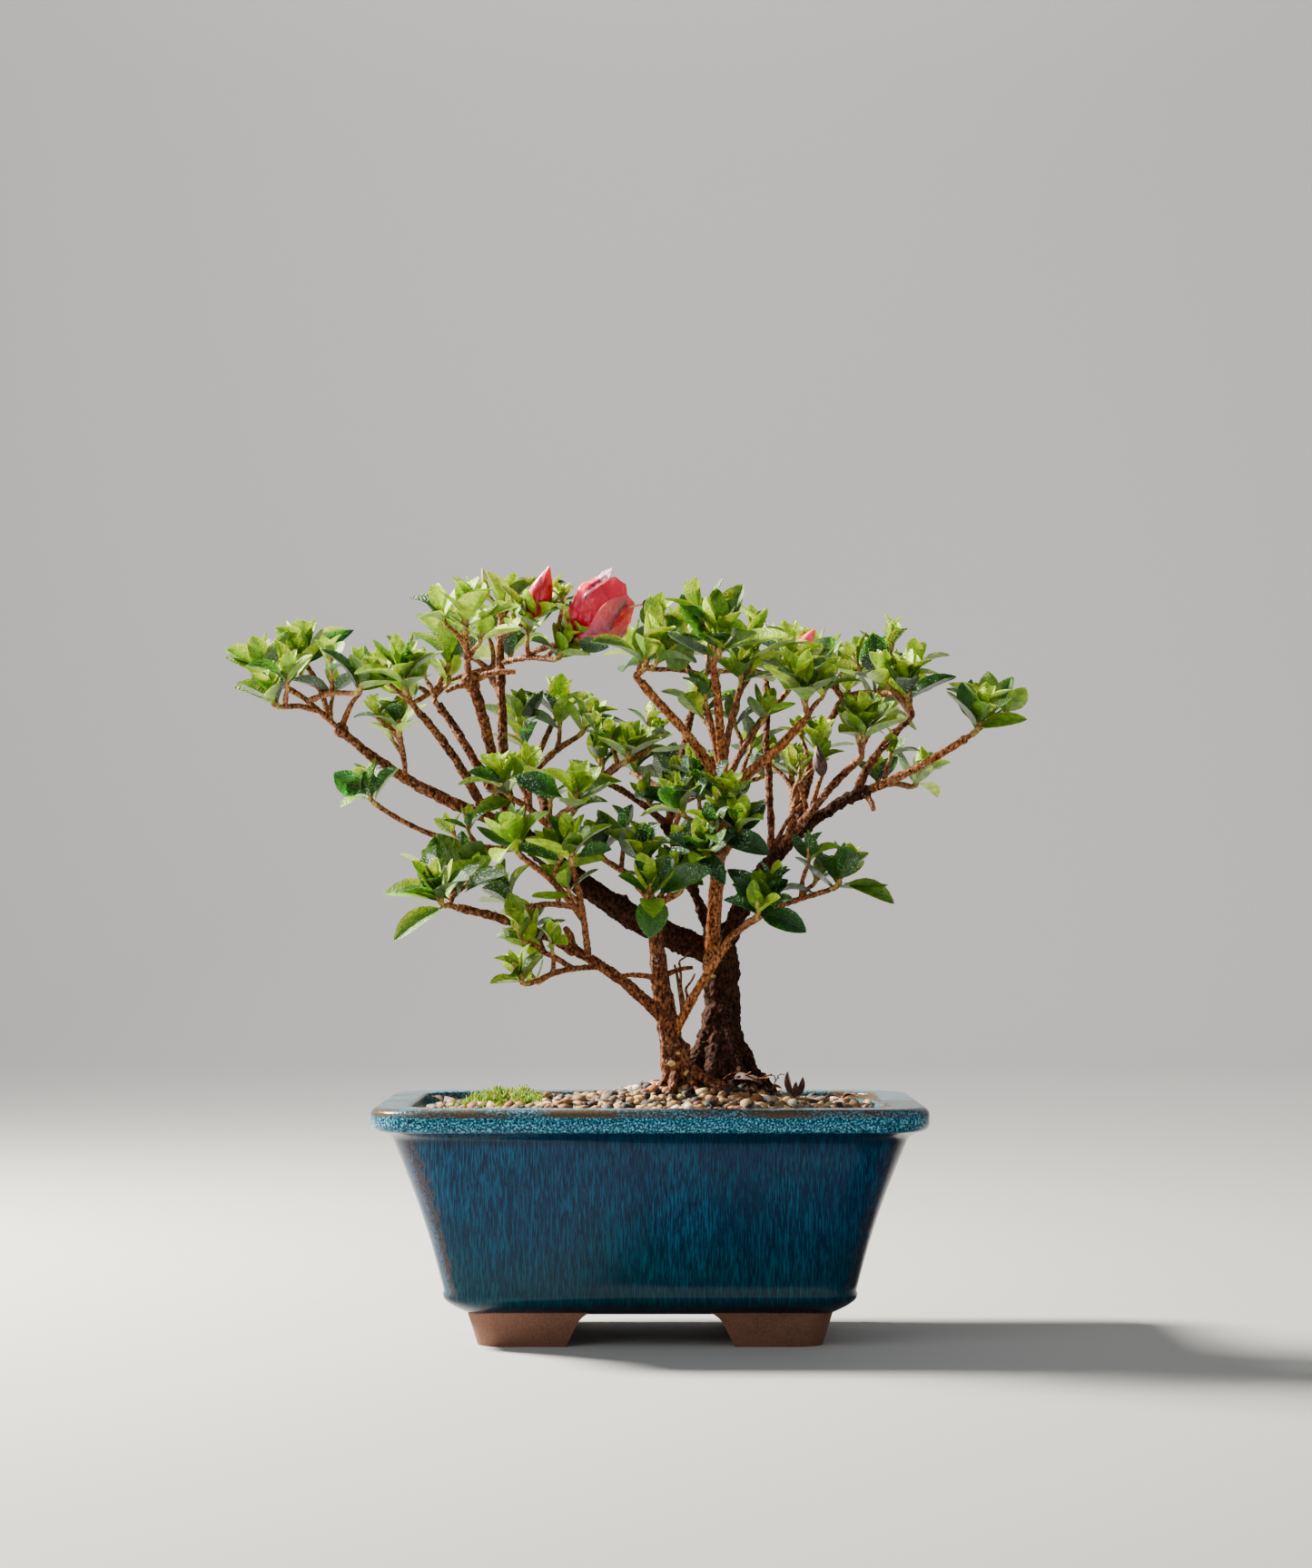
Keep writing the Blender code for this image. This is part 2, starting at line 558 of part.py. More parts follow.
def make_limbs(frame):
    make_stem(frame, "trunk", Vector((23.5, 5, GROUND)), Vector((25, 7, 132)), 0.0, (16.5, 10.2), 7.0, 14,
              root_lobes(5, 0.2, 0.6, 6))
    make_stem(frame, "front_stem", Vector((11, -9, GROUND)), Vector((1.5, -14, 137.2)), -1.0, (8.6, 4.7), 3.6, 9,
              root_lobes(4, 0.16, 2.0, 4))
    for limb in LIMBS:
        start, _ = along(frame.paths[limb.parent], limb.share)
        tip = Vector(limb.tip)
        steps = max(3, round((tip - start).length / LIMB_STEP))
        path = limb_path(start, tip, limb.bow, LIMB_KINK, steps)
        radii = []
        for k in range(steps + 1):
            swell = 1 + LIMB_SWELLING * noise(path[k] * 0.4)
            radii.append((limb.thick[0] + (limb.thick[1] - limb.thick[0]) * k / steps) / 2 * swell)
        obj = frame.add(limb.name, path, radii, limb.sides)
        young = min(1.0, OLDEST_YOUNG / limb.thick[0])
        colour = [dark + (light - dark) * young for dark, light in zip(BARK_DARK, BARK_YOUNG)]
        finish(obj, colour, 0.85)


def leaf_solid(root, ahead, facing, length, width, thickness, cup):
    """A lozenge of eight faces: root, tip, two edges, top and underside."""
    side = facing.cross(ahead).normalized()
    top = ahead.cross(side)
    middle = root + ahead * (length * LEAF_WIDEST)
    points = [
        root,
        root + ahead * length - top * (cup * 1.5),
        middle + side * (width / 2) + top * cup,
        middle - side * (width / 2) + top * cup,
        middle + top * (thickness / 2),
        middle - top * (thickness / 2),
    ]
    faces = [(0, 3, 4), (3, 1, 4), (1, 2, 4), (2, 0, 4), (3, 0, 5), (1, 3, 5), (2, 1, 5), (0, 2, 5)]
    return points, faces


def rosette_leaves(rng, base, axis, length, count):
    """Number, root, direction, facing and length of each leaf round a shoot, with some spare tries for each."""
    side = axis.orthogonal().normalized()
    across = axis.cross(side)
    turn = rng.uniform(0, math.tau)
    for k in range(count):
        share = k / (LEAVES - 1)
        for _ in range(LEAF_TRIES):
            angle = turn + GOLDEN_ANGLE * k + rng.uniform(-TURN_SPREAD, TURN_SPREAD)
            splay = OUTER_SPLAY + (INNER_SPLAY - OUTER_SPLAY) * share + rng.uniform(-SPLAY_SPREAD, SPLAY_SPREAD)
            radial = side * math.cos(angle) + across * math.sin(angle)
            ahead = axis * math.cos(math.radians(splay)) + radial * math.sin(math.radians(splay))
            ahead = (ahead + UP * LEAF_LIFT).normalized()
            facing = (axis - ahead * axis.dot(ahead)).normalized()
            size = length * (1.0 - INNER_SHORTER * share) * rng.uniform(0.9, 1.06)
            root = base + axis * (HEART_LENGTH * (0.05 + 0.8 * share)) - ahead * ROOT_DEPTH
            yield k, root, ahead, facing, size


def bud_solid(base, axis, length, radius):
    """A pointed bud."""
    path = [base + axis * (length * share) for share, _ in BUD_SWELLING]
    return tube(path, [radius * girth for _, girth in BUD_SWELLING], BUD_SIDES)


def flower_solid(base, axis):
    """A funnel of five petals with a hollow throat, closed at the petals' edges."""
    side = axis.orthogonal().normalized()
    across = axis.cross(side)
    rings = []
    for step, (share, girth) in enumerate(FLOWER_SHAPE):
        ruffle, wave = (0.16, 0.05) if step == PETAL_EDGE else (0.05, 0.0)
        ring = []
        for k in range(2 * PETALS):
            angle = math.pi * k / PETALS
            sign = (-1) ** k
            place = base + axis * (FLOWER_LENGTH * share * (1 + wave * sign))
            reach = FLOWER_RADIUS * girth * (1 + ruffle * sign)
            ring.append(place + (side * math.cos(angle) + across * math.sin(angle)) * reach)
        rings.append(ring)
    return loft(rings)


def twig_tube(path, axis, start_radius):
    """The path and radii of a twig that swells at its end into the heart that the leaves stand on."""
    top = path[-1]
    whole = [*path, top + axis * (HEART_LENGTH * 0.5), top + axis * HEART_LENGTH]
    last = len(path) - 1
    taper = [start_radius + (TWIG_TIP - start_radius) * k / last for k in range(len(path))]
    return whole, [*taper, HEART_RADIUS, HEART_TIP]


def shoot_axis(path):
    """A shoot turns up towards the light at its end."""
    _, onward = along(path, 1.0)
    return (onward * 0.5 + UP * 0.75).normalized()


def grow_twigs(mass, frame, taken, parts):
    """The stem, which ends in the first shoot, and a side twig to each other shoot that has room for one."""
    start, onward = along(frame.paths[mass.bough], mass.share)
    at_tip = mass.share == 1.0
    twigs = []
    for number, shoot in enumerate(mass.shoots):
        tip = Vector(shoot)
        if twigs:
            lead = []
            origin, _ = along(twigs[0].path, FIRST_FORK + FORK_STEP * number)
            thick = mass.thick / 2 * SIDE_TWIG
        else:
            lead = [start + onward * GAP] if at_tip else []
            origin = start + onward * (GAP + LEAD_LENGTH) if at_tip else start
            thick = mass.thick / 2
        run = (tip - origin).length
        path = lead + limb_path(origin, tip, mass.bow * run, TWIG_KINK, max(2, round(run / TWIG_STEP)))
        axis = shoot_axis(path)
        whole, radii = twig_tube(path, axis, thick)
        obj = mesh_object("twig", *tube(whole, radii, TWIG_SIDES), parts)
        if not twigs:
            frame.carve(obj)
        elif frame.touches(tree_of(obj)) or any(tree_of(obj).overlap(tree) for tree in taken):
            print(mass.name, "has no room for twig", number)
            remove(obj)
            continue
        bloom = mass.bloom if shoot == mass.shoots[-1] else None
        twigs.append(Twig(obj, path, whole, radii, axis, tip, bloom))
    return twigs


def bloom_solids(twig):
    """The bud or the flower that a twig bears, if any."""
    if twig.bloom in BUD_SIZES:
        return [bud_solid(twig.tip + twig.axis * (HEART_LENGTH * 0.4), twig.axis, *BUD_SIZES[twig.bloom])]
    if twig.bloom == "flower":
        return [flower_solid(twig.tip, FLOWER_LEAN.normalized())]
    return []


def grow_leaves(mass, twig, rng, frame, taken, parts):
    """Leaves that touch no limb, no other mass and no other leaf's blade."""
    blooms = bloom_solids(twig)
    for points, faces in blooms:
        mesh_object("bloom", points, faces, parts)
    blades = [BVHTree.FromPolygons(points, faces) for points, faces in blooms]
    done = set()
    count = BLOOM_LEAVES if blooms else LEAVES
    for k, root, ahead, facing, size in rosette_leaves(rng, twig.tip, twig.axis, mass.leaf, count):
        if k in done:
            continue
        width, cup = size * LEAF_SHAPE, size * LEAF_CUP
        blade = leaf_solid(root + ahead * (size * BLADE_START), ahead, facing, size * BLADE_SHARE, width, 1.0, cup)
        blade_tree = BVHTree.FromPolygons(*blade)
        room, faces = leaf_solid(root, ahead, facing, size + LEAF_CLEARANCE, width + LEAF_CLEARANCE,
                                 LEAF_THICKNESS + LEAF_CLEARANCE, cup)
        room_tree = BVHTree.FromPolygons([point * MM for point in room], faces)
        if frame.touches(room_tree) or any(room_tree.overlap(tree) for tree in taken):
            continue
        if any(blade_tree.overlap(tree) for tree in blades):
            continue
        mesh_object("leaf", *leaf_solid(root, ahead, facing, size, width, LEAF_THICKNESS, cup), parts)
        blades.append(blade_tree)
        done.add(k)
    return len(done)


def grow_mass(mass, frame, taken):
    """Twigs, leaves and blooms, joined by one union into the mass."""
    rng = random.Random(mass.name)
    parts = bpy.data.collections.new("parts")
    bpy.context.scene.collection.children.link(parts)
    twigs = grow_twigs(mass, frame, taken, parts)
    leaves = sum(grow_leaves(mass, twig, rng, frame, taken, parts) for twig in twigs)
    stem = twigs[0].obj
    stem.name = mass.name
    bpy.context.scene.collection.objects.link(stem)
    parts.objects.unlink(stem)
    apply_boolean(stem, "UNION", collection=parts)
    for obj in list(parts.objects):
        remove(obj)
    bpy.data.collections.remove(parts)
    keep_main_shell(stem)
    finish(stem, LEAF_GREEN, 0.4)
    taken.append(tree_of(stem))
    for number, twig in enumerate(twigs):
        frame.keep_clear(f"{mass.name}_{number}", twig.whole, twig.radii, TWIG_SIDES)
    print(mass.name, len(twigs), "shoots,", leaves, "leaves")


def stand_on_origin(solids):
    """Sets the whole plant so that the middle of its box, at the table, is the origin."""
    corners = [v.co for obj in solids for v in obj.data.vertices]
    middle = [(min(c[i] for c in corners) + max(c[i] for c in corners)) / 2 for i in (0, 1)]
    stand = bpy.data.objects.new("stand", None)
    bpy.context.scene.collection.objects.link(stand)
    stand.location = (-middle[0], -middle[1], 0)
    for obj in solids:
        obj.parent = stand
    print("pot centre at", [round(-m / MM, 3) for m in middle], "mm")


def main():
    clear_scene()
    make_pot()
    frame = Frame()
    make_limbs(frame)
    make_soil([frame.cutters["trunk"], frame.cutters["front_stem"]])
    taken = []
    for mass in MASSES:
        grow_mass(mass, frame, taken)
    frame.remove_cutters()
    solids = [obj for obj in bpy.context.scene.objects if obj.type == "MESH"]
    stand_on_origin(solids)
    print(len(solids), "solids")


main()
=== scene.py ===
# %% [markdown]
# # An azalea bonsai in a glazed pot
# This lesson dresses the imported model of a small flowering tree. The frame gives each piece its place: a rectangular
# pot on four corner feet, gravel, a trunk with a second stem, boughs, and masses of leaves. Each step below models
# one kind of thing on the real plant and gives it a finish made of procedural nodes.

import math
import random
from collections import defaultdict
from itertools import product

import bmesh
import bpy
from mathutils import Matrix, Vector
from mathutils.bvhtree import BVHTree
from mathutils.noise import noise


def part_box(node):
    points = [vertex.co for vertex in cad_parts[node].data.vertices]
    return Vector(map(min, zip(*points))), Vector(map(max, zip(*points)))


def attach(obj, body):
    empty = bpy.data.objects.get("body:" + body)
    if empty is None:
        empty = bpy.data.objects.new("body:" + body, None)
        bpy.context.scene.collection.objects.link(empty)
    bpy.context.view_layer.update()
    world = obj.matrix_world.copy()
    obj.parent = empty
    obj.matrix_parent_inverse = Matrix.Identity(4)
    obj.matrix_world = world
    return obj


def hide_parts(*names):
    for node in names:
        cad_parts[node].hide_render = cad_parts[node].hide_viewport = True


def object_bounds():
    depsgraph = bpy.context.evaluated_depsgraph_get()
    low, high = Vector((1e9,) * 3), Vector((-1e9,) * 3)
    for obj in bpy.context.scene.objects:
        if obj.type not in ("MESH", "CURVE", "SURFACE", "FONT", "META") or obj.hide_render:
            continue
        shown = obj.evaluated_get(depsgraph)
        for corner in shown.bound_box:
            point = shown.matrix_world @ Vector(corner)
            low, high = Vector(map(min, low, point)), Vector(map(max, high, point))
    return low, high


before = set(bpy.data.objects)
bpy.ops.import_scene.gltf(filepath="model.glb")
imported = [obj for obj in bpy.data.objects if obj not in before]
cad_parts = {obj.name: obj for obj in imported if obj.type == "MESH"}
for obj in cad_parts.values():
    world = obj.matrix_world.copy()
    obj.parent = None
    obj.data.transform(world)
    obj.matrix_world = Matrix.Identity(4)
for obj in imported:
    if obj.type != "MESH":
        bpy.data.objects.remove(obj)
cad_box = [list(corner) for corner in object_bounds()]
print("nodes:", len(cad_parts), "box in mm:", [[round(x * 1000) for x in corner] for corner in cad_box])

# %% [markdown]
# Sizes in this lesson are millimetres from the middle of the pot at table level, +X to the right and -Y to the
# front. The pot isn't in the middle of the frame, because the crown leans, so its middle is read from its own node.

# %% Millimetres from the middle of the pot
MM = 0.001
UP = Vector((0, 0, 1))
pot_low, pot_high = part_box("pot")
POT_MIDDLE = Vector(((pot_low.x + pot_high.x) / 2, (pot_low.y + pot_high.y) / 2, 0))


def place(x, y, z):
    """A point given in millimetres from the middle of the pot, in the frame's metres."""
    return POT_MIDDLE + Vector((x, y, z)) * MM


print("middle of the pot:", [round(v, 5) for v in POT_MIDDLE])

# %% [markdown]
# ## Helpers
# Nearly every operator acts on what is selected, so the first helpers select one object, or the faces and edges whose
# middle passes a test. The others run modifiers through, and hand a finished piece over to the frame: it rides on the
# one body, and it says which solids it stands for.

# %% Selecting and handing over


def only(obj):
    """Selects one object and makes it the active one."""
    bpy.ops.object.select_all(action="DESELECT")
    obj.select_set(True)
    bpy.context.view_layer.objects.active = obj
    return obj


def add(primitive, **settings):
    """Adds a primitive with nothing else selected, in the middle unless it is given a location."""
    bpy.ops.object.select_all(action="DESELECT")
    primitive(**{"location": (0, 0, 0), **settings})
    return bpy.context.object


def middle(item):
    """The middle of a vertex, an edge or a face."""
    verts = getattr(item, "verts", [item])
    return sum((vert.co for vert in verts), Vector()) / len(verts)


def pick(kind, test):
    """In edit mode, selects the VERT, EDGE or FACE items that pass a test."""
    bpy.ops.mesh.select_mode(type=kind)
    bpy.ops.mesh.select_all(action="DESELECT")
    mesh = bmesh.from_edit_mesh(bpy.context.edit_object.data)
    items = {"VERT": mesh.verts, "EDGE": mesh.edges, "FACE": mesh.faces}[kind]
    for item in [item for item in items if test(middle(item), item)]:
        item.select_set(True)
    bmesh.update_edit_mesh(bpy.context.edit_object.data)


def edit(obj):
    """Opens one object in edit mode."""
    only(obj)
    bpy.ops.object.mode_set(mode="EDIT")


def leave_edit():
    """Back to object mode, with the object that was edited."""
    bpy.ops.object.mode_set(mode="OBJECT")
    return bpy.context.object


def settle(obj, name):
    """Names an object and puts its place, turn and size into its mesh."""
    only(obj)
    obj.name = name
    obj.data.name = name
    bpy.ops.object.transform_apply(location=True, rotation=True, scale=True)
    return obj


def template_of(obj, name):
    """Keeps an object out of the scene, to be copied from."""
    settle(obj, name)
    bpy.context.scene.collection.objects.unlink(obj)
    return obj


def modify(obj, kind, **settings):
    """Adds a modifier and applies it."""
    only(obj)
    modifier = obj.modifiers.new(kind.lower(), kind)
    for key, value in settings.items():
        setattr(modifier, key, value)
    bpy.ops.object.modifier_apply(modifier=modifier.name)
    return obj


def join(objects, name):
    """Joins several objects into one piece."""
    only(objects[0])
    for obj in objects[1:]:
        obj.select_set(True)
    bpy.ops.object.join()
    return settle(bpy.context.object, name)


def displace(piece, size, depth, kind="CLOUDS", look=(), mid_level=0.5, **settings):
    """Pushes a surface out and in by a texture. Its size and depth are millimetres."""
    texture = bpy.data.textures.new("relief", kind)
    texture.noise_scale = size * MM
    for key, value in dict(look).items():
        setattr(texture, key, value)
    modify(piece, "DISPLACE", texture=texture, strength=depth * MM, mid_level=mid_level, **settings)


def turned_to(axis):
    """A matrix that turns +Z to an axis."""
    return axis.to_track_quat("Z", "Y").to_matrix().to_4x4()


def hand_over(piece, slot, *nodes):
    """The piece rides on the plant's one body and stands for some solids. The slot is not used."""
    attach(piece, "root")
    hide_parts(*nodes)
    print(piece.name, "has", sum(len(face.vertices) - 2 for face in piece.data.polygons), "triangles")


# %% [markdown]
# A finish is a tree of shader nodes. The helper below measures the surface in millimetres, so that a noise of scale
# 1 has one bump a millimetre, and it wires up noise, ramps, mixes, arithmetic and bump.
# Whatever is the same all over, such as the roughness of a glaze, is set on the shader's own socket.

# %% A helper for finishes


class Finish:
    """A Principled material and the nodes that most finishes need."""

    def __init__(self, name, colour=None, **sockets):
        self.material = bpy.data.materials.new(name)
        self.material.use_nodes = True
        self.tree = self.material.node_tree
        self.shader = self.tree.nodes["Principled BSDF"]
        for socket, value in sockets.items():
            self.shader.inputs[socket.replace("_", " ")].default_value = value
        self.where = None
        if colour:
            self.colour(colour)

    def node(self, kind, inputs=(), **settings):
        """A new node whose inputs are fed with values or with other nodes' outputs."""
        made = self.tree.nodes.new("ShaderNode" + kind)
        for key, value in settings.items():
            setattr(made, key, value)
        for socket, value in dict(inputs).items():
            self.feed(made.inputs[socket], value)
        return made

    def feed(self, socket, value):
        if isinstance(value, bpy.types.NodeSocket):
            self.tree.links.new(value, socket)
        else:
            socket.default_value = value

    def millimetres(self, stretch=(1, 1, 1)):
        """The place on the surface, from the middle of the pot, in millimetres."""
        if self.where is None:
            self.where = self.node("TexCoord").outputs["Object"]
        scale = [1000 * s for s in stretch]
        shift = [-1000 * m * s for m, s in zip(POT_MIDDLE, stretch)]
        mapping = self.node("Mapping", {"Vector": self.where, "Location": shift, "Scale": scale})
        return mapping.outputs["Vector"]

    def noise(self, scale, detail=2.0, stretch=(1, 1, 1), distortion=0.0):
        """Noise with so many bumps a millimetre."""
        inputs = {"Vector": self.millimetres(stretch), "Scale": scale, "Detail": detail, "Distortion": distortion}
        return self.node("TexNoise", inputs).outputs["Fac"]

    def cells(self, scale, stretch=(1, 1, 1)):
        """Plates or flakes: the distance from the middle of the nearest one."""
        inputs = {"Vector": self.millimetres(stretch), "Scale": scale}
        return self.node("TexVoronoi", inputs).outputs["Distance"]

    def ramp(self, factor, low, high):
        """0 below low, 1 above high, and smooth between them."""
        inputs = {"Value": factor, "From Min": low, "From Max": high}
        return self.node("MapRange", inputs, interpolation_type="SMOOTHSTEP").outputs["Result"]

    def mix(self, factor, first, second):
        """The first colour where the factor is 0, the second where it is 1."""
        made = self.node("Mix", data_type="RGBA")
        self.feed(made.inputs["Factor"], factor)
        for socket, value in (("A", first), ("B", second)):
            colour = [s for s in made.inputs if s.name == socket and s.type == "RGBA"][0]
            self.feed(colour, value if isinstance(value, bpy.types.NodeSocket) else (*value, 1))
        return [s for s in made.outputs if s.type == "RGBA"][0]

    def maths(self, operation, first, second=0.0):
        made = self.node("Math", operation=operation)
        self.feed(made.inputs[0], first)
        self.feed(made.inputs[1], second)
        return made.outputs[0]

    def times(self, first, second):
        return self.maths("MULTIPLY", first, second)

    def plus(self, first, second):
        return self.maths("ADD", first, second)

    def minus(self, first, second):
        return self.maths("SUBTRACT", first, second)

    def colour(self, value):
        self.feed(self.shader.inputs["Base Color"], value if not isinstance(value, tuple) else (*value, 1))

    def mottle(self, scale, detail, low, high, first, second):
        """Colours the surface by a noise, from its hollows to its heights."""
        patches = self.noise(scale, detail)
        self.colour(self.mix(self.ramp(patches, low, high), first, second))
        return patches

    def bump(self, height, distance, strength=1.0, coat=False):
        """Relief of so many millimetres, in the clear coat too where there is one to show it."""
        inputs = {"Height": height, "Distance": distance * MM, "Strength": strength}
        normal = self.node("Bump", inputs).outputs["Normal"]
        self.feed(self.shader.inputs["Normal"], normal)
        if coat:
            self.feed(self.shader.inputs["Coat Normal"], normal)


def finish_off(piece, finish, slot):
    """Smooths a piece, gives it one finish and hands it over."""
    only(piece)
    bpy.ops.object.shade_smooth()
    wear(piece, finish)
    hand_over(piece, slot)


def dimmed(colour, share):
    """A share of a colour's light, or with more than 1, a brighter colour."""
    return tuple(c * share for c in colour)


def wear(piece, *finishes):
    """Gives a piece its materials."""
    piece.data.materials.clear()
    for finish in finishes:
        piece.data.materials.append(finish.material)


# %% [markdown]
# ## Camera, floor and light
# The view is from a little above the pot's rim, tilted up by two degrees, through a long lens, which keeps the pot's
# sides nearly straight. The floor is a plain pale sheet that rises behind the plant. A large soft lamp hangs to the
# left, a little behind the plant, so that leaves get bright edges and the pot a soft sheen.

# %% Camera
CAMERA_AT = (1.93, -1270, 143.3)
CAMERA_TILT = 92
LENS = 85.2
SENSOR_WIDTH = 36

bpy.ops.object.camera_add(location=place(*CAMERA_AT), rotation=(math.radians(CAMERA_TILT), 0, 0))
camera = bpy.context.object
camera.data.lens = LENS
camera.data.sensor_width = SENSOR_WIDTH
bpy.context.scene.camera = camera
print("camera:", [round(v, 3) for v in camera.location])

# %% Floor and backdrop
# These sizes are metres.
FLOOR_COLOUR = (0.40, 0.39, 0.37)
FLOOR_REACH = 3.4
BACKDROP_HEIGHT = 3.0
BACKDROP_BEND = 1.2

floor = settle(add(bpy.ops.mesh.primitive_plane_add, size=2 * FLOOR_REACH), "floor")
edit(floor)
pick("EDGE", lambda at, edge: all(vert.co.y > 0 for vert in edge.verts))
bpy.ops.mesh.extrude_region_move(TRANSFORM_OT_translate={"value": (0, 0, BACKDROP_HEIGHT)})
pick("EDGE", lambda at, edge: all(vert.co.y > 0 and vert.co.z < 0.1 for vert in edge.verts))
bpy.ops.mesh.bevel(offset=BACKDROP_BEND, segments=16)
leave_edit()
bpy.ops.object.shade_smooth()
wear(floor, Finish("floor", FLOOR_COLOUR, Roughness=0.85))
print("floor:", len(floor.data.polygons), "faces")

# %% Lamps
# Name, place in millimetres, width in metres, power in watts and colour.
LAMPS = (
    ("window", (-820, 300, 780), 0.26, 104, (1.0, 0.95, 0.87)),
    ("front_fill", (-560, -860, 640), 0.9, 4.8, (0.93, 0.96, 1.0)),
    ("right_fill", (800, -500, 420), 1.0, 1.4, (0.9, 0.95, 1.0)),
)
AIM = place(0, 0, 130)
# A square lamp behind and above the plant lights the backdrop only.
WASH_AT = (0, 1700, 2300)
WASH_TILT = 52
WASH_SIZE = 2.4
WASH_POWER = 98
SKY_COLOUR = (0.80, 0.84, 0.88, 1)
SKY_STRENGTH = 0.31

for name, spot, size, power, colour in LAMPS:
    bpy.ops.object.light_add(type="AREA", location=place(*spot))
    lamp = bpy.context.object
    lamp.name = name
    lamp.data.shape = "DISK"
    lamp.data.size = size
    lamp.data.energy = power
    lamp.data.color = colour
    lamp.rotation_euler = (AIM - lamp.location).to_track_quat("-Z", "Y").to_euler()
    lamp.visible_camera = False
bpy.ops.object.light_add(type="AREA", location=place(*WASH_AT), rotation=(math.radians(WASH_TILT), 0, 0))
wash = bpy.context.object
wash.name = "backdrop_wash"
wash.data.size = WASH_SIZE
wash.data.energy = WASH_POWER
wash.visible_camera = False
world = bpy.data.worlds.new("studio")
world.use_nodes = True
world.node_tree.nodes["Background"].inputs["Color"].default_value = SKY_COLOUR
world.node_tree.nodes["Background"].inputs["Strength"].default_value = SKY_STRENGTH
bpy.context.scene.world = world
print("lamps:", len(LAMPS) + 1)

# %% [markdown]
# ## The pot
# The pot was pressed from clay and dipped in a running glaze. Its walls taper and are slightly hollow, its rim is a
# flat ledge with a rounded lip, and its base turns in over a soft bead. A rounded rectangle is drawn first, by
# bevelling the corners of a plane. Its face is then drawn down ring by ring. Where a ring is smaller than the one
# before, a quarter of the step is an inset, which tightens the corners, and the rest is a resize, which keeps them.

# %% Rings of a rounded rectangle
RIM_LENGTH = 183.5
RIM_DEPTH = 140.0
RIM_TOP = 80.0
RIM_CORNER = 22.0
CORNER_SEGMENTS = 10
INSET_SHARE = 0.25


def rounded_plane(length, depth, corner, z):
    """A rounded rectangle at height z, left in edit mode with its face selected."""
    block = add(bpy.ops.mesh.primitive_plane_add, size=1, location=place(0, 0, z))
    block.scale = (length * MM, depth * MM, 1)
    edit(settle(block, "block"))
    bpy.ops.mesh.select_all(action="SELECT")
    bpy.ops.mesh.bevel(offset=corner * MM, segments=CORNER_SEGMENTS, affect="VERTICES", clamp_overlap=False)


def draw_ring(start, end):
    """Draws the selected face from one (inset, height) to the next."""
    inset, drop = end[0] - start[0], (end[1] - start[1]) * MM
    tightened = start[0]
    if inset > 0:
        bpy.ops.mesh.inset(thickness=inset * INSET_SHARE * MM, use_even_offset=True)
        bpy.ops.transform.translate(value=(0, 0, drop))
        tightened += inset * INSET_SHARE
    else:
        bpy.ops.mesh.extrude_region_move(TRANSFORM_OT_translate={"value": (0, 0, drop)})
    shares = [(size - 2 * end[0]) / (size - 2 * tightened) for size in (RIM_LENGTH, RIM_DEPTH)]
    bpy.ops.transform.resize(value=(shares[0], shares[1], 1), center_override=place(0, 0, end[1]))


def arc(middle_point, radius, start, end, steps):
    """Points of a profile along an arc, in degrees from the inside."""
    angles = [math.radians(start + (end - start) * k / steps) for k in range(steps + 1)]
    return [(middle_point[0] + radius * math.cos(a), middle_point[1] + radius * math.sin(a)) for a in angles]


# %% Pot body
# Places on the profile are (distance in from the rim's outer edge, height).
EDGE = 2.6
LIP_FOOT = 74.6
COVE = ((3.3, 71.7), (4.6, 71.0), (5.8, 70.3), (6.7, 69.5))
WALL_TOP = (7.2, 68.6)
WALL_FOOT = (23.0, 17.5)
WALL_HOLLOW = 1.2
WALL_STEPS = 12
BEAD = (0.35, 1.4)
BEAD_STEPS = 6
BASE = (31.0, 11.0)
RIM_INNER = 12.5
INNER_EDGE = 1.2
INNER_WALL = ((17, 65), (24, 40))
POT_FLOOR = (31.0, 17.0)


def outer_profile():
    """(inset, height) down the outside: rounded lip, cove, hollow wall, bead and base."""
    points = arc((EDGE, RIM_TOP - EDGE), EDGE, 90, 180, 6)
    points += arc((EDGE, LIP_FOOT), EDGE, 180, 256, 5)
    points += [*COVE, WALL_TOP]
    for k in range(1, WALL_STEPS + 1):
        share = k / WALL_STEPS
        inset = WALL_TOP[0] + (WALL_FOOT[0] + BEAD[0] - WALL_TOP[0]) * share + WALL_HOLLOW * math.sin(math.pi * share)
        points.append((inset, WALL_TOP[1] + (WALL_FOOT[1] + BEAD[1] - WALL_TOP[1]) * share))
    for k in range(BEAD_STEPS + 1):
        share = 1 - k / BEAD_STEPS
        inset = BASE[0] + (WALL_FOOT[0] - BASE[0]) * math.sin(share * math.pi / 2)
        points.append((inset, BASE[1] + (WALL_FOOT[1] - BASE[1]) * share))
    return points


profile = outer_profile()
rounded_plane(RIM_LENGTH - 2 * EDGE, RIM_DEPTH - 2 * EDGE, RIM_CORNER - EDGE / 2, RIM_TOP)
for start, end in zip(profile, profile[1:]):
    draw_ring(start, end)
pick("FACE", lambda at, face: at.z > (RIM_TOP - 0.01) * MM and len(face.verts) > 4)
inner_edge = arc((RIM_INNER - INNER_EDGE, RIM_TOP - INNER_EDGE), INNER_EDGE, 90, 0, 4)
inside = [(EDGE, RIM_TOP), *inner_edge, *INNER_WALL, POT_FLOOR]
for start, end in zip(inside, inside[1:]):
    draw_ring(start, end)
bpy.ops.mesh.select_all(action="SELECT")
bpy.ops.mesh.normals_make_consistent(inside=False)
pot = settle(leave_edit(), "pot_body")
bpy.ops.object.shade_smooth_by_angle(angle=math.radians(40))
print("pot rings:", len(profile) + len(inside))

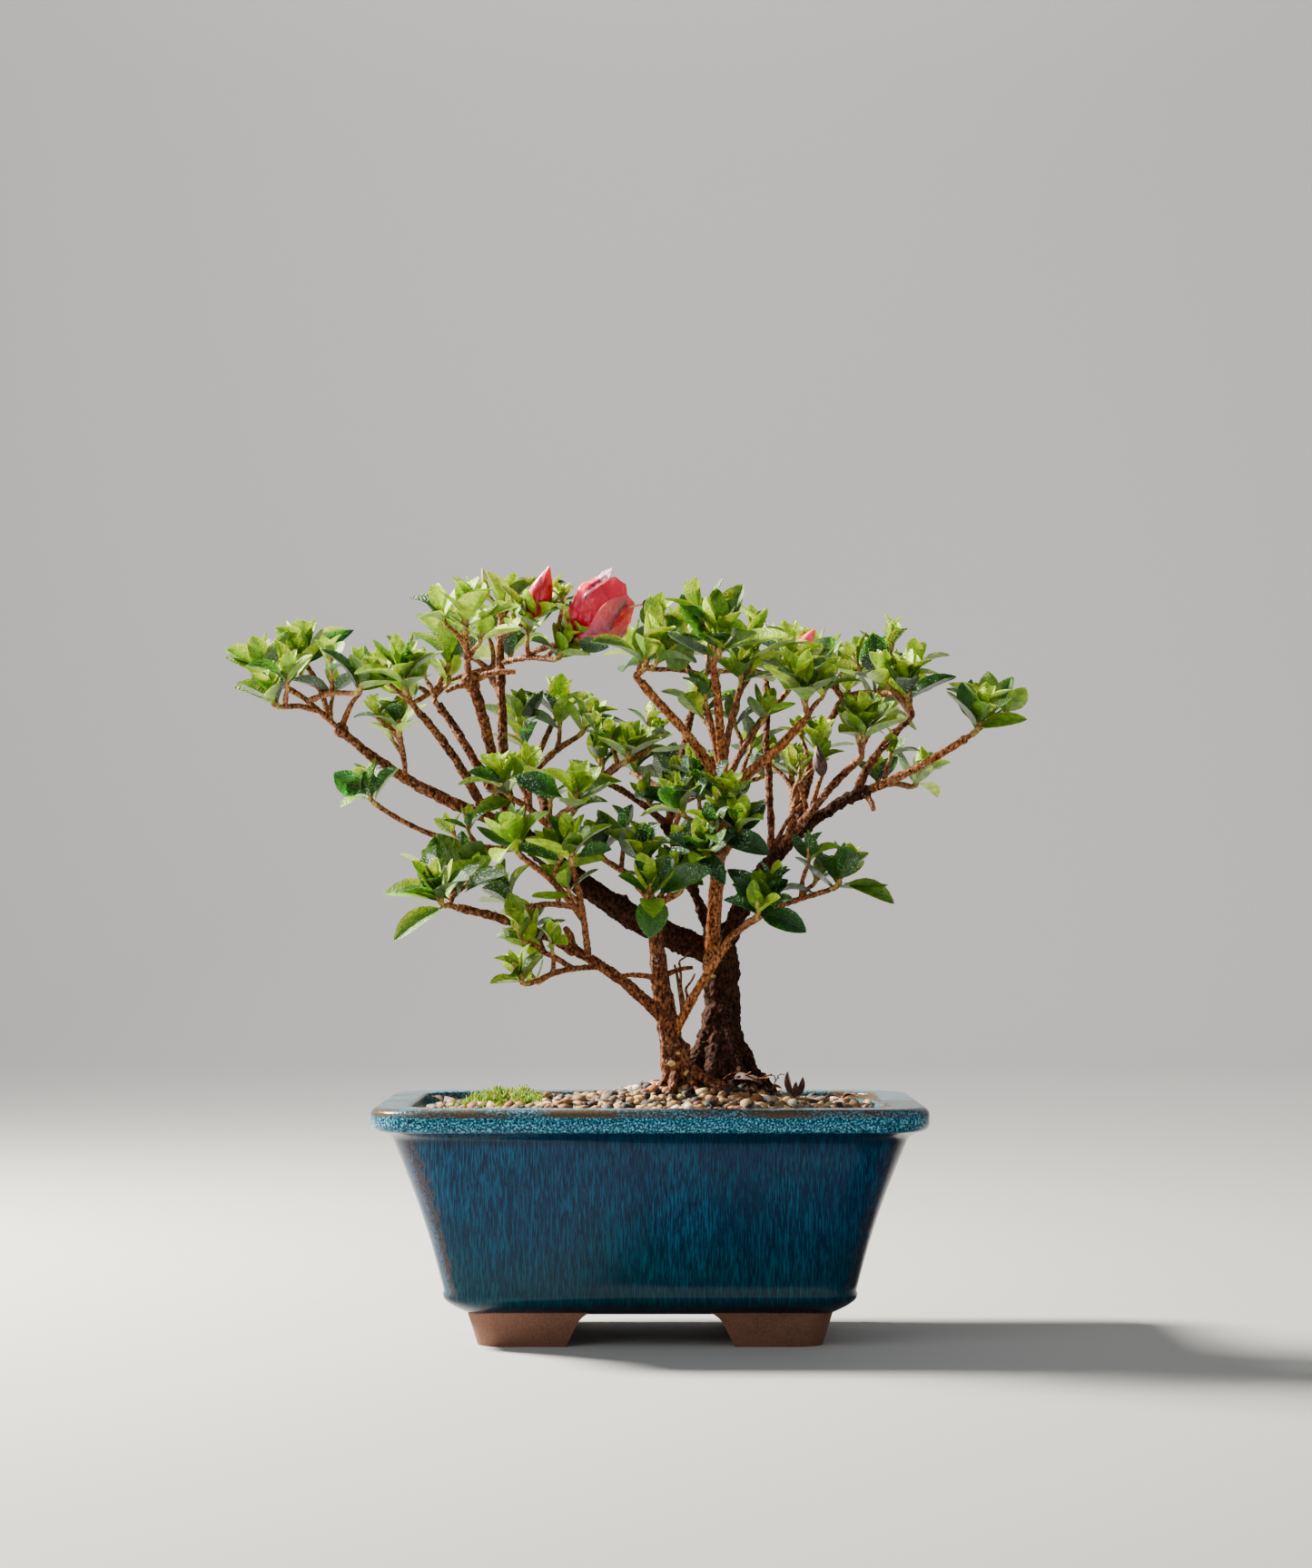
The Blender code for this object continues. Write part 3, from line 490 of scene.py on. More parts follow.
# %% [markdown]
# The glaze is a deep teal blue that ran down the walls while it was molten, so fine paler threads hang in it. Where
# it is thin, in patches along the lip's upper edge and down the upright corners, the clay shows through as brown. The
# lip's face, where it is thick, is speckled and brightest. Noise that is drawn out downwards has no seam at corners.

# %% Glaze
DEEP_BLUE = (0.001, 0.013, 0.040)
TEAL = (0.001, 0.018, 0.032)
THREAD = (0.010, 0.105, 0.20)
TEAL_THREAD = (0.004, 0.080, 0.12)
LIP_BLUE = (0.004, 0.062, 0.115)
LIP_SPECK = (0.11, 0.40, 0.52)
LIP_DARK = (0.001, 0.010, 0.022)
BROWN = (0.066, 0.040, 0.017)
CORNER_BROWN = (0.050, 0.034, 0.030)
# Painted light on the upright corners: a lilac sheen on the left, shade on the right.
PAINTED_SHEEN_LILAC = (0.045, 0.065, 0.11)
PAINTED_SHADE_EDGE = (0.022, 0.013, 0.010)
# Painted shade for the hollow under the lip and for the foot.
PAINTED_SHADE_BLUE = (0.001, 0.006, 0.014)


def hanging_noise(made, sideways, scale, detail, drop):
    """Noise drawn out down the walls, along x on the long sides and along y on the short ones."""
    long_side = made.noise(scale, detail, (1, 0.02, drop), 0.2)
    short_side = made.noise(scale, detail, (0.02, 1, drop), 0.2)
    return made.mix(made.ramp(sideways, -0.15, 0.15), long_side, short_side)


def band(made, value, start, full, end, gone):
    """1 between full and end, fading to 0 at start and gone."""
    return made.times(made.ramp(value, start, full), made.ramp(value, gone, end))


def running_walls(made, height, sideways):
    """Deep blue with paler threads, more teal near the foot. Gives the colour and the threads."""
    threads = made.ramp(hanging_noise(made, sideways, 2.4, 3.0, 0.07), 0.50, 0.63)
    fine = made.ramp(hanging_noise(made, sideways, 4.4, 2.0, 0.05), 0.50, 0.64)
    threads = made.maths("MAXIMUM", threads, made.times(fine, 0.8))
    low = made.ramp(made.plus(height, made.times(made.noise(0.03), 34)), 72, 34)
    broad = made.ramp(made.noise(0.05, 2.0, (1, 1, 0.4)), 0.2, 0.75)
    strength = made.times(threads, made.plus(made.times(broad, 0.45), 0.27))
    return made.mix(strength, made.mix(low, DEEP_BLUE, TEAL), made.mix(low, THREAD, TEAL_THREAD)), threads


def dark_hollows(made, body, uneven):
    """Painted shade: darkest under the lip, and where the base turns in."""
    body = made.mix(made.times(band(made, uneven, 66.0, 70.0, 72.2, 73.4), 0.6), body, PAINTED_SHADE_BLUE)
    return made.mix(made.times(made.ramp(uneven, 17.0, 12.5), 0.75), body, PAINTED_SHADE_BLUE)


def speckled_lip(made, body, height, uneven):
    """The lip's pale specks and dark pits, and brown where its edge is worn."""
    speckled = made.mix(made.ramp(made.noise(1.5, 4.0), 0.49, 0.60), LIP_BLUE, LIP_SPECK)
    speckled = made.mix(made.ramp(made.noise(1.1, 4.0, (1, 1, 1.3)), 0.49, 0.40), speckled, LIP_DARK)
    body = made.mix(made.ramp(height, 72.0, 73.2), body, speckled)
    worn = made.times(made.ramp(made.noise(0.035, 5.0), 0.60, 0.42), 0.55)
    edge = made.times(band(made, uneven, 76.9, 77.8, 79.6, 80.2), made.plus(worn, 0.38))
    ledge = made.times(made.ramp(height, 79.0, 79.7), made.ramp(made.noise(0.05, 4.0), 0.5, 0.7))
    return made.mix(made.maths("MAXIMUM", edge, ledge), body, BROWN)


def worn_corners(made, body, spot, sideways):
    """A ragged brown strip down each upright corner, painted fainter on the shaded right, and beside it a strip of
    painted sheen on the left corners and painted shade on the right ones.
    """
    ragged = made.minus(made.noise(1.4, 3.0, (0.5, 0.5, 0.10)), 0.5)
    strip = made.plus(sideways, made.times(ragged, 0.9))
    upright = band(made, spot.outputs["Z"], 14.0, 22.0, 66.0, 71.0)
    # Painted light: 1 on the lit left side and 0 on the shaded right.
    painted_lit_side = made.ramp(spot.outputs["X"], 10.0, -10.0)
    grit = made.ramp(made.noise(2.4, 3.0, (0.7, 0.7, 0.3)), 0.38, 0.58)
    brown = made.times(made.times(band(made, strip, -0.30, -0.14, 0.06, 0.16), upright), made.plus(painted_lit_side, 0.25))
    # The strip of painted sheen and painted shade beside the brown.
    pale = made.times(band(made, strip, 0.02, 0.12, 0.26, 0.42), upright)
    body = made.mix(made.times(brown, grit), body, CORNER_BROWN)
    return made.mix(made.times(pale, grit), body, made.mix(painted_lit_side, PAINTED_SHADE_EDGE, PAINTED_SHEEN_LILAC))


def glaze():
    made = Finish("glaze", Roughness=0.12, Specular_IOR_Level=0.09, Coat_Weight=0.05, Coat_Roughness=0.04)
    spot = made.node("SeparateXYZ", {"Vector": made.millimetres()})
    height = spot.outputs["Z"]
    uneven = made.plus(height, made.times(made.minus(made.noise(0.12, 3.0), 0.5), 1.6))
    normal = made.node("SeparateXYZ", {"Vector": made.node("TexCoord").outputs["Normal"]})
    sideways = made.minus(*[made.maths("ABSOLUTE", normal.outputs[axis]) for axis in "XY"])
    body, threads = running_walls(made, height, sideways)
    # Painted shade under the lip and at the foot.
    body = dark_hollows(made, body, uneven)
    body = speckled_lip(made, body, height, uneven)
    made.colour(worn_corners(made, body, spot, sideways))
    made.bump(made.plus(made.times(threads, 0.2), made.noise(0.16)), 0.25, 0.3)
    return made


wear(pot, glaze())
hand_over(pot, "glaze", "pot")

# %% [markdown]
# Under the base the pot stands on four bare clay feet. They are one pressed block, cut by two arches that cross. Each
# arch is a box that is wider at the table, with its upper edges rounded, taken away by a Boolean modifier.

# %% Feet
# Length, depth and corner of the block at the table, and each arch's width at its top and at the table.
FOOT_BLOCK = (115.0, 73.0, 9.0)
FOOT_HEIGHT = 11.6
FOOT_FLARE = 7.0
FOOT_EDGE = 0.9
ARCHES = {"front_arch": (44.0, 58.0), "side_arch": (22.0, 34.0)}
ARCH_HEIGHT = 12.2
ARCH_LENGTH = 400
ARCH_ROUNDING = 5.0
BELOW_TABLE = 2


def arch_tool(name, narrow, wide, turned):
    """A long box with sloping sides and rounded upper edges."""
    tool = add(bpy.ops.mesh.primitive_cube_add, size=1, location=place(0, 0, (ARCH_HEIGHT - BELOW_TABLE) / 2))
    tool.scale = (wide * MM, ARCH_LENGTH * MM, (ARCH_HEIGHT + BELOW_TABLE) * MM)
    tool.rotation_euler.z = math.pi / 2 if turned else 0
    edit(settle(tool, name))
    pick("FACE", lambda at, face: face.normal.z > 0.9)
    share = narrow / wide
    factor = (1, share, 1) if turned else (share, 1, 1)
    bpy.ops.transform.resize(value=factor, center_override=place(0, 0, ARCH_HEIGHT))
    long_way = 0 if turned else 1
    pick("EDGE", lambda at, edge: at.z > ARCH_HEIGHT / 2 * MM
         and abs((edge.verts[0].co - edge.verts[1].co)[long_way]) > 0.3)
    bpy.ops.mesh.bevel(offset=ARCH_ROUNDING * MM, segments=6)
    return leave_edit()


rounded_plane(*FOOT_BLOCK, 0)
bpy.ops.mesh.extrude_region_move(TRANSFORM_OT_translate={"value": (0, 0, FOOT_HEIGHT * MM)})
grow = [(size + FOOT_FLARE) / size for size in FOOT_BLOCK[:2]]
bpy.ops.transform.resize(value=(*grow, 1), center_override=place(0, 0, FOOT_HEIGHT))
bpy.ops.mesh.select_all(action="SELECT")
bpy.ops.mesh.normals_make_consistent(inside=False)
feet = settle(leave_edit(), "clay_feet")
for name, (narrow, wide) in ARCHES.items():
    tool = arch_tool(name, narrow, wide, name == "side_arch")
    modify(feet, "BOOLEAN", operation="DIFFERENCE", object=tool)
    bpy.data.objects.remove(tool)
modify(feet, "BEVEL", width=FOOT_EDGE * MM, segments=3, angle_limit=math.radians(40))
bpy.ops.object.shade_smooth_by_angle(angle=math.radians(50))

clay = Finish("bare_clay", Roughness=0.78)
grit = clay.noise(2.2, 3.0)
stain = clay.ramp(clay.noise(0.12, 3.0), 0.35, 0.7)
clay.colour(clay.mix(clay.ramp(grit, 0.35, 0.7), clay.mix(stain, (0.15, 0.058, 0.030), (0.10, 0.036, 0.020)),
                     (0.20, 0.092, 0.052)))
clay.bump(grit, 0.3, 0.5)
wear(feet, clay)
hand_over(feet, "glaze")

# %% [markdown]
# ## Soil and gravel
# The pot is filled to a finger's breadth below its rim, and the soil rises to the trunk. A dark bed comes first: a
# grid, cut to the pot's rounded inside, lifted to the same height as the solid and drawn down to close it.

# %% The bed
SOIL_EDGE = 76.3
SOIL_TOP = 83.0
MOUND_X = 19.0
LUMP_SPACING = 16.0
LUMP_HEIGHT = 1.5
MOSS_AT = (-50.0, -6.0)
MOSS_REACH = (19.0, 14.0)
MOSS_RISE = 4.5
BED_BELOW = 1.6
BED_INSET = 12.9
BED_CORNER = 15.0
BED_GRID = (80, 58)
BED_THICK = 6
CLOD_SIZE = 2.2
CLOD_DEPTH = 0.8
HEAP_AT = (16.0, -3.0)
HEAP_REACH = (33.0, 27.0)
HEAP_HEIGHT = 6.0
HALF_LENGTH, HALF_DEPTH = RIM_LENGTH / 2 - RIM_INNER, RIM_DEPTH / 2 - RIM_INNER


def in_moss(x, y):
    """0 in the middle of the moss and 1 at its edge."""
    return math.hypot((x - MOSS_AT[0]) / MOSS_REACH[0], (y - MOSS_AT[1]) / MOSS_REACH[1])


def gravel_height(x, y):
    """The surface of the gravel: the mound at the trunk, its lumps and the cushion of moss."""
    reach = HALF_LENGTH - math.copysign(MOUND_X, x - MOUND_X)
    share = max(0.0, 1 - max(abs(x - MOUND_X) / reach, abs(y) / HALF_DEPTH))
    mound = (SOIL_TOP - SOIL_EDGE) * share * share * (3 - 2 * share)
    turn = math.pi * math.sqrt(2) / LUMP_SPACING
    lump = LUMP_HEIGHT * (1 - share) * math.cos(x * turn) * math.cos(y * turn)
    return SOIL_EDGE + mound + lump + MOSS_RISE * max(0.0, 1 - in_moss(x, y) ** 2)


def heap(x, y):
    """Gravel heaped up against the stems."""
    return HEAP_HEIGHT * max(0.0, 1 - math.hypot((x - HEAP_AT[0]) / HEAP_REACH[0], (y - HEAP_AT[1]) / HEAP_REACH[1]))


def beyond_corner(at, _):
    """Whether a place in metres lies outside the bed's rounded corners."""
    over = [max(0.0, abs(v) / MM - half + BED_CORNER) for v, half in zip(at - POT_MIDDLE, (length / 2, depth / 2))]
    return math.hypot(*over) > BED_CORNER


length, depth = RIM_LENGTH - 2 * BED_INSET, RIM_DEPTH - 2 * BED_INSET
bed = add(bpy.ops.mesh.primitive_grid_add, x_subdivisions=BED_GRID[0], y_subdivisions=BED_GRID[1], size=1,
          location=place(0, 0, 0))
bed.scale = (length * MM, depth * MM, 1)
edit(settle(bed, "soil_bed"))
pick("VERT", beyond_corner)
bpy.ops.mesh.delete(type="VERT")
leave_edit()
for vert in bed.data.vertices:
    at = (vert.co - POT_MIDDLE) / MM
    vert.co.z = (gravel_height(at.x, at.y) + heap(at.x, at.y) - BED_BELOW) * MM
displace(bed, CLOD_SIZE, CLOD_DEPTH, direction="Z")
edit(bed)
bpy.ops.mesh.select_all(action="SELECT")
bpy.ops.mesh.extrude_region_move(TRANSFORM_OT_translate={"value": (0, 0, -BED_THICK * MM)})
bpy.ops.mesh.select_all(action="SELECT")
bpy.ops.mesh.normals_make_consistent(inside=False)
leave_edit()
bpy.ops.object.shade_smooth()

humus = Finish("humus", Roughness=0.95)
crumbs = humus.mottle(1.4, 4.0, 0.3, 0.75, (0.018, 0.012, 0.008), (0.10, 0.065, 0.04))
humus.bump(crumbs, 0.5, 0.8)
wear(bed, humus)
hand_over(bed, "gravel", "soil")

# %% [markdown]
# Pebbles, moss, bristles, leaves and buds are there in hundreds or thousands. Each kind is modelled once or a few
# times. The function below writes the corners of every copy into one mesh, which is quicker than joining objects.

# %% Many copies of one small shape


def scatter(name, copies, finishes, smooth=True):
    """Joins copies, each a (template object, matrix), into one mesh that keeps the templates' slots and maps."""
    points, faces, slots, maps = [], [], [], []
    shapes = {}
    for template, matrix in copies:
        if template.name not in shapes:
            mesh = template.data
            uv = mesh.uv_layers.active
            shapes[template.name] = (
                [vert.co.copy() for vert in mesh.vertices],
                [(tuple(face.vertices), face.material_index) for face in mesh.polygons],
                [tuple(corner.uv) for corner in uv.data] if uv else [],
            )
        verts, template_faces, corners = shapes[template.name]
        first = len(points)
        points += [matrix @ vert for vert in verts]
        for face, slot in template_faces:
            faces.append([first + index for index in face])
            slots.append(slot)
        maps += corners
    mesh = bpy.data.meshes.new(name)
    mesh.from_pydata(points, [], faces)
    mesh.polygons.foreach_set("material_index", slots)
    mesh.polygons.foreach_set("use_smooth", [smooth] * len(faces))
    if maps:
        mesh.uv_layers.new(name="UVMap").data.foreach_set("uv", [value for uv in maps for value in uv])
    piece = bpy.data.objects.new(name, mesh)
    bpy.context.scene.collection.objects.link(piece)
    wear(piece, *finishes)
    return piece


def stood(location, ahead, facing, scale):
    """A matrix that puts a template's +Y along ahead and its +Z as near to facing as it goes."""
    side = ahead.cross(facing).normalized()
    top = side.cross(ahead).normalized()
    turn = Matrix((side, ahead.normalized(), top)).transposed().to_4x4()
    return Matrix.Translation(location) @ turn @ Matrix.Diagonal((*scale, 1))


# %% [markdown]
# Loose pebbles of pumice and baked clay cover the bed. One pebble is a cube of few faces, rounded and dented. Six
# such shapes are enough, because the copies differ in size, turn and proportions.

# %% Pebbles


def pebble_template(name, seed, roughness):
    """A cube of four and twenty faces, rounded and dented."""
    edit(add(bpy.ops.mesh.primitive_cube_add, size=1))
    bpy.ops.mesh.select_all(action="SELECT")
    bpy.ops.mesh.subdivide(number_cuts=1)
    bpy.ops.transform.tosphere(value=0.62)
    bpy.ops.transform.vertex_random(offset=roughness, seed=seed)
    return template_of(leave_edit(), name)


# Colour and share of the pebbles.
PEBBLE_TONES = {
    "cream": ((0.44, 0.275, 0.110), 0.17),
    "tan": ((0.23, 0.115, 0.036), 0.30),
    "rust": ((0.21, 0.070, 0.018), 0.13),
    "grey": ((0.085, 0.070, 0.045), 0.15),
    "white": ((0.56, 0.49, 0.35), 0.04),
    "dark": ((0.016, 0.010, 0.006), 0.27),
}
PEBBLE_COUNT = 4300
PEBBLE_SIZE = (1.5, 3.6)
GRAVEL_REACH = (78, 56.5)
GRAVEL_CORNER_AT = (66, 45)
GRAVEL_CORNER = 12
BARE_CORNER = (-60, 28)
STEMS_AT = ((23.5, 5.0, 10.4), (11.0, -9.0, 5.2))

dice = random.Random("pebbles")
pebble_shapes = [pebble_template(f"pebble_{k}", k, 0.13 + 0.02 * k) for k in range(6)]
ground = BVHTree.FromObject(bed, bpy.context.evaluated_depsgraph_get())


def ground_at(x, y):
    """The point of the soil's surface under a place, or nothing beyond the pot's inner wall."""
    hit = ground.ray_cast(place(x, y, 120), Vector((0, 0, -1)), 60 * MM)
    return hit[0]


def on_gravel():
    """A random place on the soil, clear of the stems, of the middle of the moss and of the bare corner."""
    while True:
        x, y = [dice.uniform(-reach, reach) for reach in GRAVEL_REACH]
        past = [abs(v) - corner for v, corner in zip((x, y), GRAVEL_CORNER_AT)]
        if min(past) > 0 and math.hypot(*past) > GRAVEL_CORNER:
            continue
        if any(math.hypot(x - sx, y - sy) < reach for sx, sy, reach in STEMS_AT):
            continue
        if in_moss(x, y) < 0.75 and dice.random() < 0.75:
            continue
        if x < BARE_CORNER[0] and y > BARE_CORNER[1] and dice.random() < 0.8:
            continue
        if ground_at(x, y):
            return x, y


pebbles = {tone: [] for tone in PEBBLE_TONES}
weights = [share for _, share in PEBBLE_TONES.values()]
for _ in range(PEBBLE_COUNT):
    x, y = on_gravel()
    size = PEBBLE_SIZE[0] + (PEBBLE_SIZE[1] - PEBBLE_SIZE[0]) * dice.random() ** 1.7
    spot = ground_at(x, y) + UP * (size * dice.uniform(0.1, 0.42) * MM)
    ahead = Vector((dice.gauss(0, 1), dice.gauss(0, 1), dice.gauss(0, 0.4))).normalized()
    lean = Vector((dice.gauss(0, 0.3), dice.gauss(0, 0.3), 1)).normalized()
    scale = Vector((dice.uniform(0.75, 1.0), dice.uniform(0.95, 1.3), dice.uniform(0.6, 0.85))) * size * MM
    tone = dice.choices(list(PEBBLE_TONES), weights)[0]
    pebbles[tone].append((dice.choice(pebble_shapes), stood(spot, ahead, lean, scale)))


def stone(tone, colour):
    """Matt stone with grain, darker in its pits and paler in blotches."""
    made = Finish("pebble_" + tone, Roughness=0.72)
    grain = made.noise(2.4, 3.0)
    blotch = made.ramp(made.noise(0.28, 2.0), 0.3, 0.7)
    body = made.mix(made.ramp(grain, 0.35, 0.7), dimmed(colour, 0.6), colour)
    made.colour(made.mix(blotch, body, dimmed(colour, 1.25)))
    made.bump(grain, 0.25, 0.6)
    return made


for tone, (colour, _) in PEBBLE_TONES.items():
    hand_over(scatter("gravel_" + tone, pebbles[tone], [stone(tone, colour)]), "gravel")

# %% [markdown]
# A cushion of bright moss grows at the left. Each sprig is a short stem with small pointed leaves, modelled once from
# a cone of three sides, and some hundreds of them stand close together, taller towards the middle of the patch.

# %% Moss
MOSS_COUNT = 900
MOSS_TONES = {"bright": (0.23, 0.52, 0.016), "shaded": (0.06, 0.19, 0.008)}
BRIGHT_SHARE = 0.7
BLADES = 6
BLADE_LENGTH = 0.62


def moss_sprig():
    """Blades that fan out from one stem, a millimetre tall."""
    blades = []
    for k in range(BLADES):
        blade = add(bpy.ops.mesh.primitive_cone_add, vertices=3, radius1=0.11, radius2=0.02, depth=BLADE_LENGTH)
        blade.location = (0, 0, BLADE_LENGTH / 2 + 0.06 * k)
        settle(blade, "blade")
        turn = Matrix.Rotation(math.tau * 0.382 * k, 4, "Z") @ Matrix.Rotation(math.radians(58 - 9 * k), 4, "X")
        blade.data.transform(Matrix.Translation((0, 0, 0.09 * k)) @ turn)
        blades.append(blade)
    return template_of(join(blades, "moss_sprig"), "moss_sprig")


dice = random.Random("moss")
sprig = moss_sprig()
tufts = {tone: [] for tone in MOSS_TONES}
while sum(len(group) for group in tufts.values()) < MOSS_COUNT:
    x = MOSS_AT[0] + dice.uniform(-1, 1) * MOSS_REACH[0]
    y = MOSS_AT[1] + dice.uniform(-1, 1) * MOSS_REACH[1]
    tuft = noise(Vector((x, y, 0)) * 0.22)
    away = in_moss(x, y) - 0.4 * tuft
    if away > 0.85 or not ground_at(x, y):
        continue
    height = (1.9 + 1.2 * (1 - away) + 1.6 * max(0.0, tuft)) * dice.uniform(0.6, 1.15)
    spot = ground_at(x, y) - UP * 0.2 * MM
    up = Vector((dice.gauss(0, 0.2), dice.gauss(0, 0.2), 1)).normalized()
    matrix = Matrix.Translation(spot) @ turned_to(up) @ Matrix.Rotation(dice.uniform(0, math.tau), 4, "Z")
    matrix = matrix @ Matrix.Scale(height * MM, 4)
    tufts["bright" if dice.random() < BRIGHT_SHARE else "shaded"].append((sprig, matrix))
for tone, colour in MOSS_TONES.items():
    green = Finish("moss_" + tone, Roughness=0.6, Subsurface_Weight=0.2, Subsurface_Scale=0.0008)
    green.mottle(0.7, 2.0, 0.3, 0.7, colour, dimmed(colour, 0.55))
    hand_over(scatter("moss_" + tone, tufts[tone], [green], smooth=False), "gravel")

# %% [markdown]
# ## Trunk and boughs
# The tree follows the rule that its solids follow. A limb leaves its parent at a share of the parent's length, bends
# a little, and tapers to its tip. The rows give only what is particular to each limb.

# %% The rule of the limbs
GROUND = 80.0
STEM_STEPS = 11
STEM_KINK = 1.0
FLARE_FADE = 6.5
LIMB_STEP = 11.0
LIMB_KINK = 1.1
LIMB_THICKER = 1.11
LIMB_UNEVEN = 0.1

# Foot, tip, lift of the middle, thickness at both ends, flare at the foot, and bark.
STEMS = {
    "trunk": ((23.5, 5, GROUND), (25, 7, 132), 0.0, (17.0, 10.9), 7.0, "old"),
    "front_stem": ((11, -9, GROUND), (1.5, -14, 137.2), -1.0, (9.4, 5.3), 3.6, "red"),
}
# Name, parent, share of the parent's length, tip, lift of the middle, thickness at both ends, and bark.
LIMBS = (
    ("left_limb", "trunk", 0.93, (-49.4, 4, 175.4), -5.0, (8.8, 7.4), "old"),
    ("right_limb", "trunk", 0.95, (75.1, 0, 185.9), 9.0, (7.2, 4.0), "old"),
    ("centre_stem", "trunk", 0.84, (24.7, -20, 189.2), -1.0, (5.0, 4.3), "young"),
    ("middle_limb", "trunk", 0.9, (5.2, 14, 174.4), 0.0, (4.6, 3.4), "old"),
    ("low_left_bough", "front_stem", 0.46, (-64.9, -26, 145.4), 6.5, (4.0, 2.8), "red"),
    ("crossing_bough", "front_stem", 0.36, (26.4, -26, 134.2), 1.0, (3.2, 2.6), "young"),
    ("far_left_bough", "left_limb", 0.97, (-107.4, 4, 207.2), -4.0, (4.6, 3.0), "red"),
    ("left_bough_1", "far_left_bough", 0.13, (-78.1, -20, 211.2), 2.0, (3.4, 2.7), "red"),
    ("left_bough_2", "left_limb", 0.96, (-73.9, 18, 216.1), 1.0, (3.5, 2.8), "red"),
    ("left_bough_3", "left_limb", 0.98, (-60.8, -16, 222.5), 1.0, (4.2, 3.5), "red"),
    ("left_bough_4", "left_limb", 0.98, (-51.7, 0, 235.3), -1.0, (4.2, 2.6), "red"),
    ("back_left_bough", "left_limb", 0.72, (-57.0, 48, 228.2), 4.0, (3.8, 2.6), "red"),
    ("mid_bough", "middle_limb", 1.0, (-14.2, 6, 188.0), 1.0, (2.9, 2.3), "red"),
    ("back_bough", "middle_limb", 0.96, (18.9, 52, 226.1), 4.0, (3.2, 2.4), "red"),
    ("fan_bough_1", "centre_stem", 0.96, (-3.1, -32, 220.6), 1.0, (3.4, 2.8), "young"),
    ("fan_bough_3", "centre_stem", 0.99, (21.4, -34, 223.8), 0.0, (3.1, 2.6), "young"),
    ("fan_bough_6", "centre_stem", 0.92, (51.0, -30, 207.3), -1.0, (3.8, 2.8), "young"),
    ("right_bough_1", "right_limb", 0.93, (88.2, 4, 209.7), 2.0, (3.2, 2.5), "red"),
    ("right_bough_2", "right_limb", 0.5, (69.7, -14, 194.6), 1.0, (3.2, 2.6), "red"),
    ("right_bough_3", "right_limb", 0.46, (40.1, 14, 223.8), 0.0, (3.0, 2.3), "red"),
    ("far_right_bough", "right_limb", 0.96, (107.6, -6, 203.0), -1.0, (3.0, 2.3), "young"),
    ("back_right_bough", "right_limb", 0.62, (67.2, 46, 218.4), 3.0, (3.0, 2.4), "red"),
)


def limb_path(start, tip, bow, kink, steps):
    """From start to tip, its middle lifted by bow, with kinks where buds once stood."""
    run = tip - start
    lift = (UP - run * (UP.dot(run) / run.length_squared)).normalized()
    path = []
    for k in range(steps + 1):
        share = k / steps
        wander = Vector((noise(start + UP * k * 7.3), noise(start - UP * k * 5.1), 0)) * kink
        fade = math.sin(math.pi * share)
        path.append(start + run * share + lift * (4 * bow * share * (1 - share)) + wander * fade)
    return path


def along(path, share):
    """The point and direction at a share of a path's steps."""
    at = min(max(share, 0.0), 1.0) * (len(path) - 1)
    step = min(int(at), len(path) - 2)
    return path[step].lerp(path[step + 1], at - step), (path[step + 1] - path[step]).normalized()


def finer(path, radii, spacing):
    """A smooth curve through a coarse path, with a point every spacing, and the radii to match."""
    fine, girths = [path[0]], [radii[0]]
    for k in range(len(path) - 1):
        before, start, end, after = path[max(k - 1, 0)], path[k], path[k + 1], path[min(k + 2, len(path) - 1)]
        pieces = max(1, round((end - start).length / spacing))
        for j in range(1, pieces + 1):
            t = j / pieces
            bend = (2 * start + (end - before) * t + (2 * before - 5 * start + 4 * end - after) * t * t
                    + (3 * start - before - 3 * end + after) * t ** 3) / 2
            fine.append(bend)
            girths.append(radii[k] + (radii[k + 1] - radii[k]) * t)
    return fine, girths


def stem_path(foot, tip, bow, thick, flare):
    """A stem's path and radii. It leaves the ground upright and flares there."""
    path = limb_path(foot, tip, bow, STEM_KINK, STEM_STEPS)
    path[0].z = foot.z
    path[1] = Vector((path[0].x, path[0].y, path[1].z))
    radii = []
    for point in path:
        share = (point.z - foot.z) / (tip.z - foot.z)
        flared = flare * math.exp((foot.z - point.z) / FLARE_FADE)
        radii.append((thick[0] + (thick[1] - thick[0]) * share) / 2 + flared)
    return path, radii


# The centre stem starts at the trunk's left side, and not on its middle line.
FOOT_SHIFTS = {"centre_stem": Vector((-4.5, -2.0, 0))}
paths, girth, bark_of = {}, {}, {}
for name, (foot, tip, bow, thick, flare, bark) in STEMS.items():
    paths[name], girth[name] = stem_path(Vector(foot), Vector(tip), bow, thick, flare)
    bark_of[name] = bark
for name, parent, share, tip, bow, thick, bark in LIMBS:
    start, _ = along(paths[parent], share)
    steps = max(3, round((Vector(tip) - start).length / LIMB_STEP))
    paths[name] = limb_path(start, Vector(tip), bow, LIMB_KINK, steps)
    shift = FOOT_SHIFTS.get(name, Vector())
    paths[name] = [point + shift * (1 - k / steps) for k, point in enumerate(paths[name])]
    girth[name] = [
        (thick[0] + (thick[1] - thick[0]) * k / steps) / 2 * LIMB_THICKER * (1 + LIMB_UNEVEN * noise(point * 0.4))
        for k, point in enumerate(paths[name])]
    bark_of[name] = bark
print("limbs:", len(paths))

# %% [markdown]
# A limb is drawn the way a wire armature is. A plane is merged to one point, the point is extruded along the limb's
# path, and the chain of edges is turned into a curve. The curve gets a thickness at each of its points and becomes a
# tube. Tubes that share a bark are joined, and a remesh melts them together at the forks, as wood grows.

# %% A tube along a path


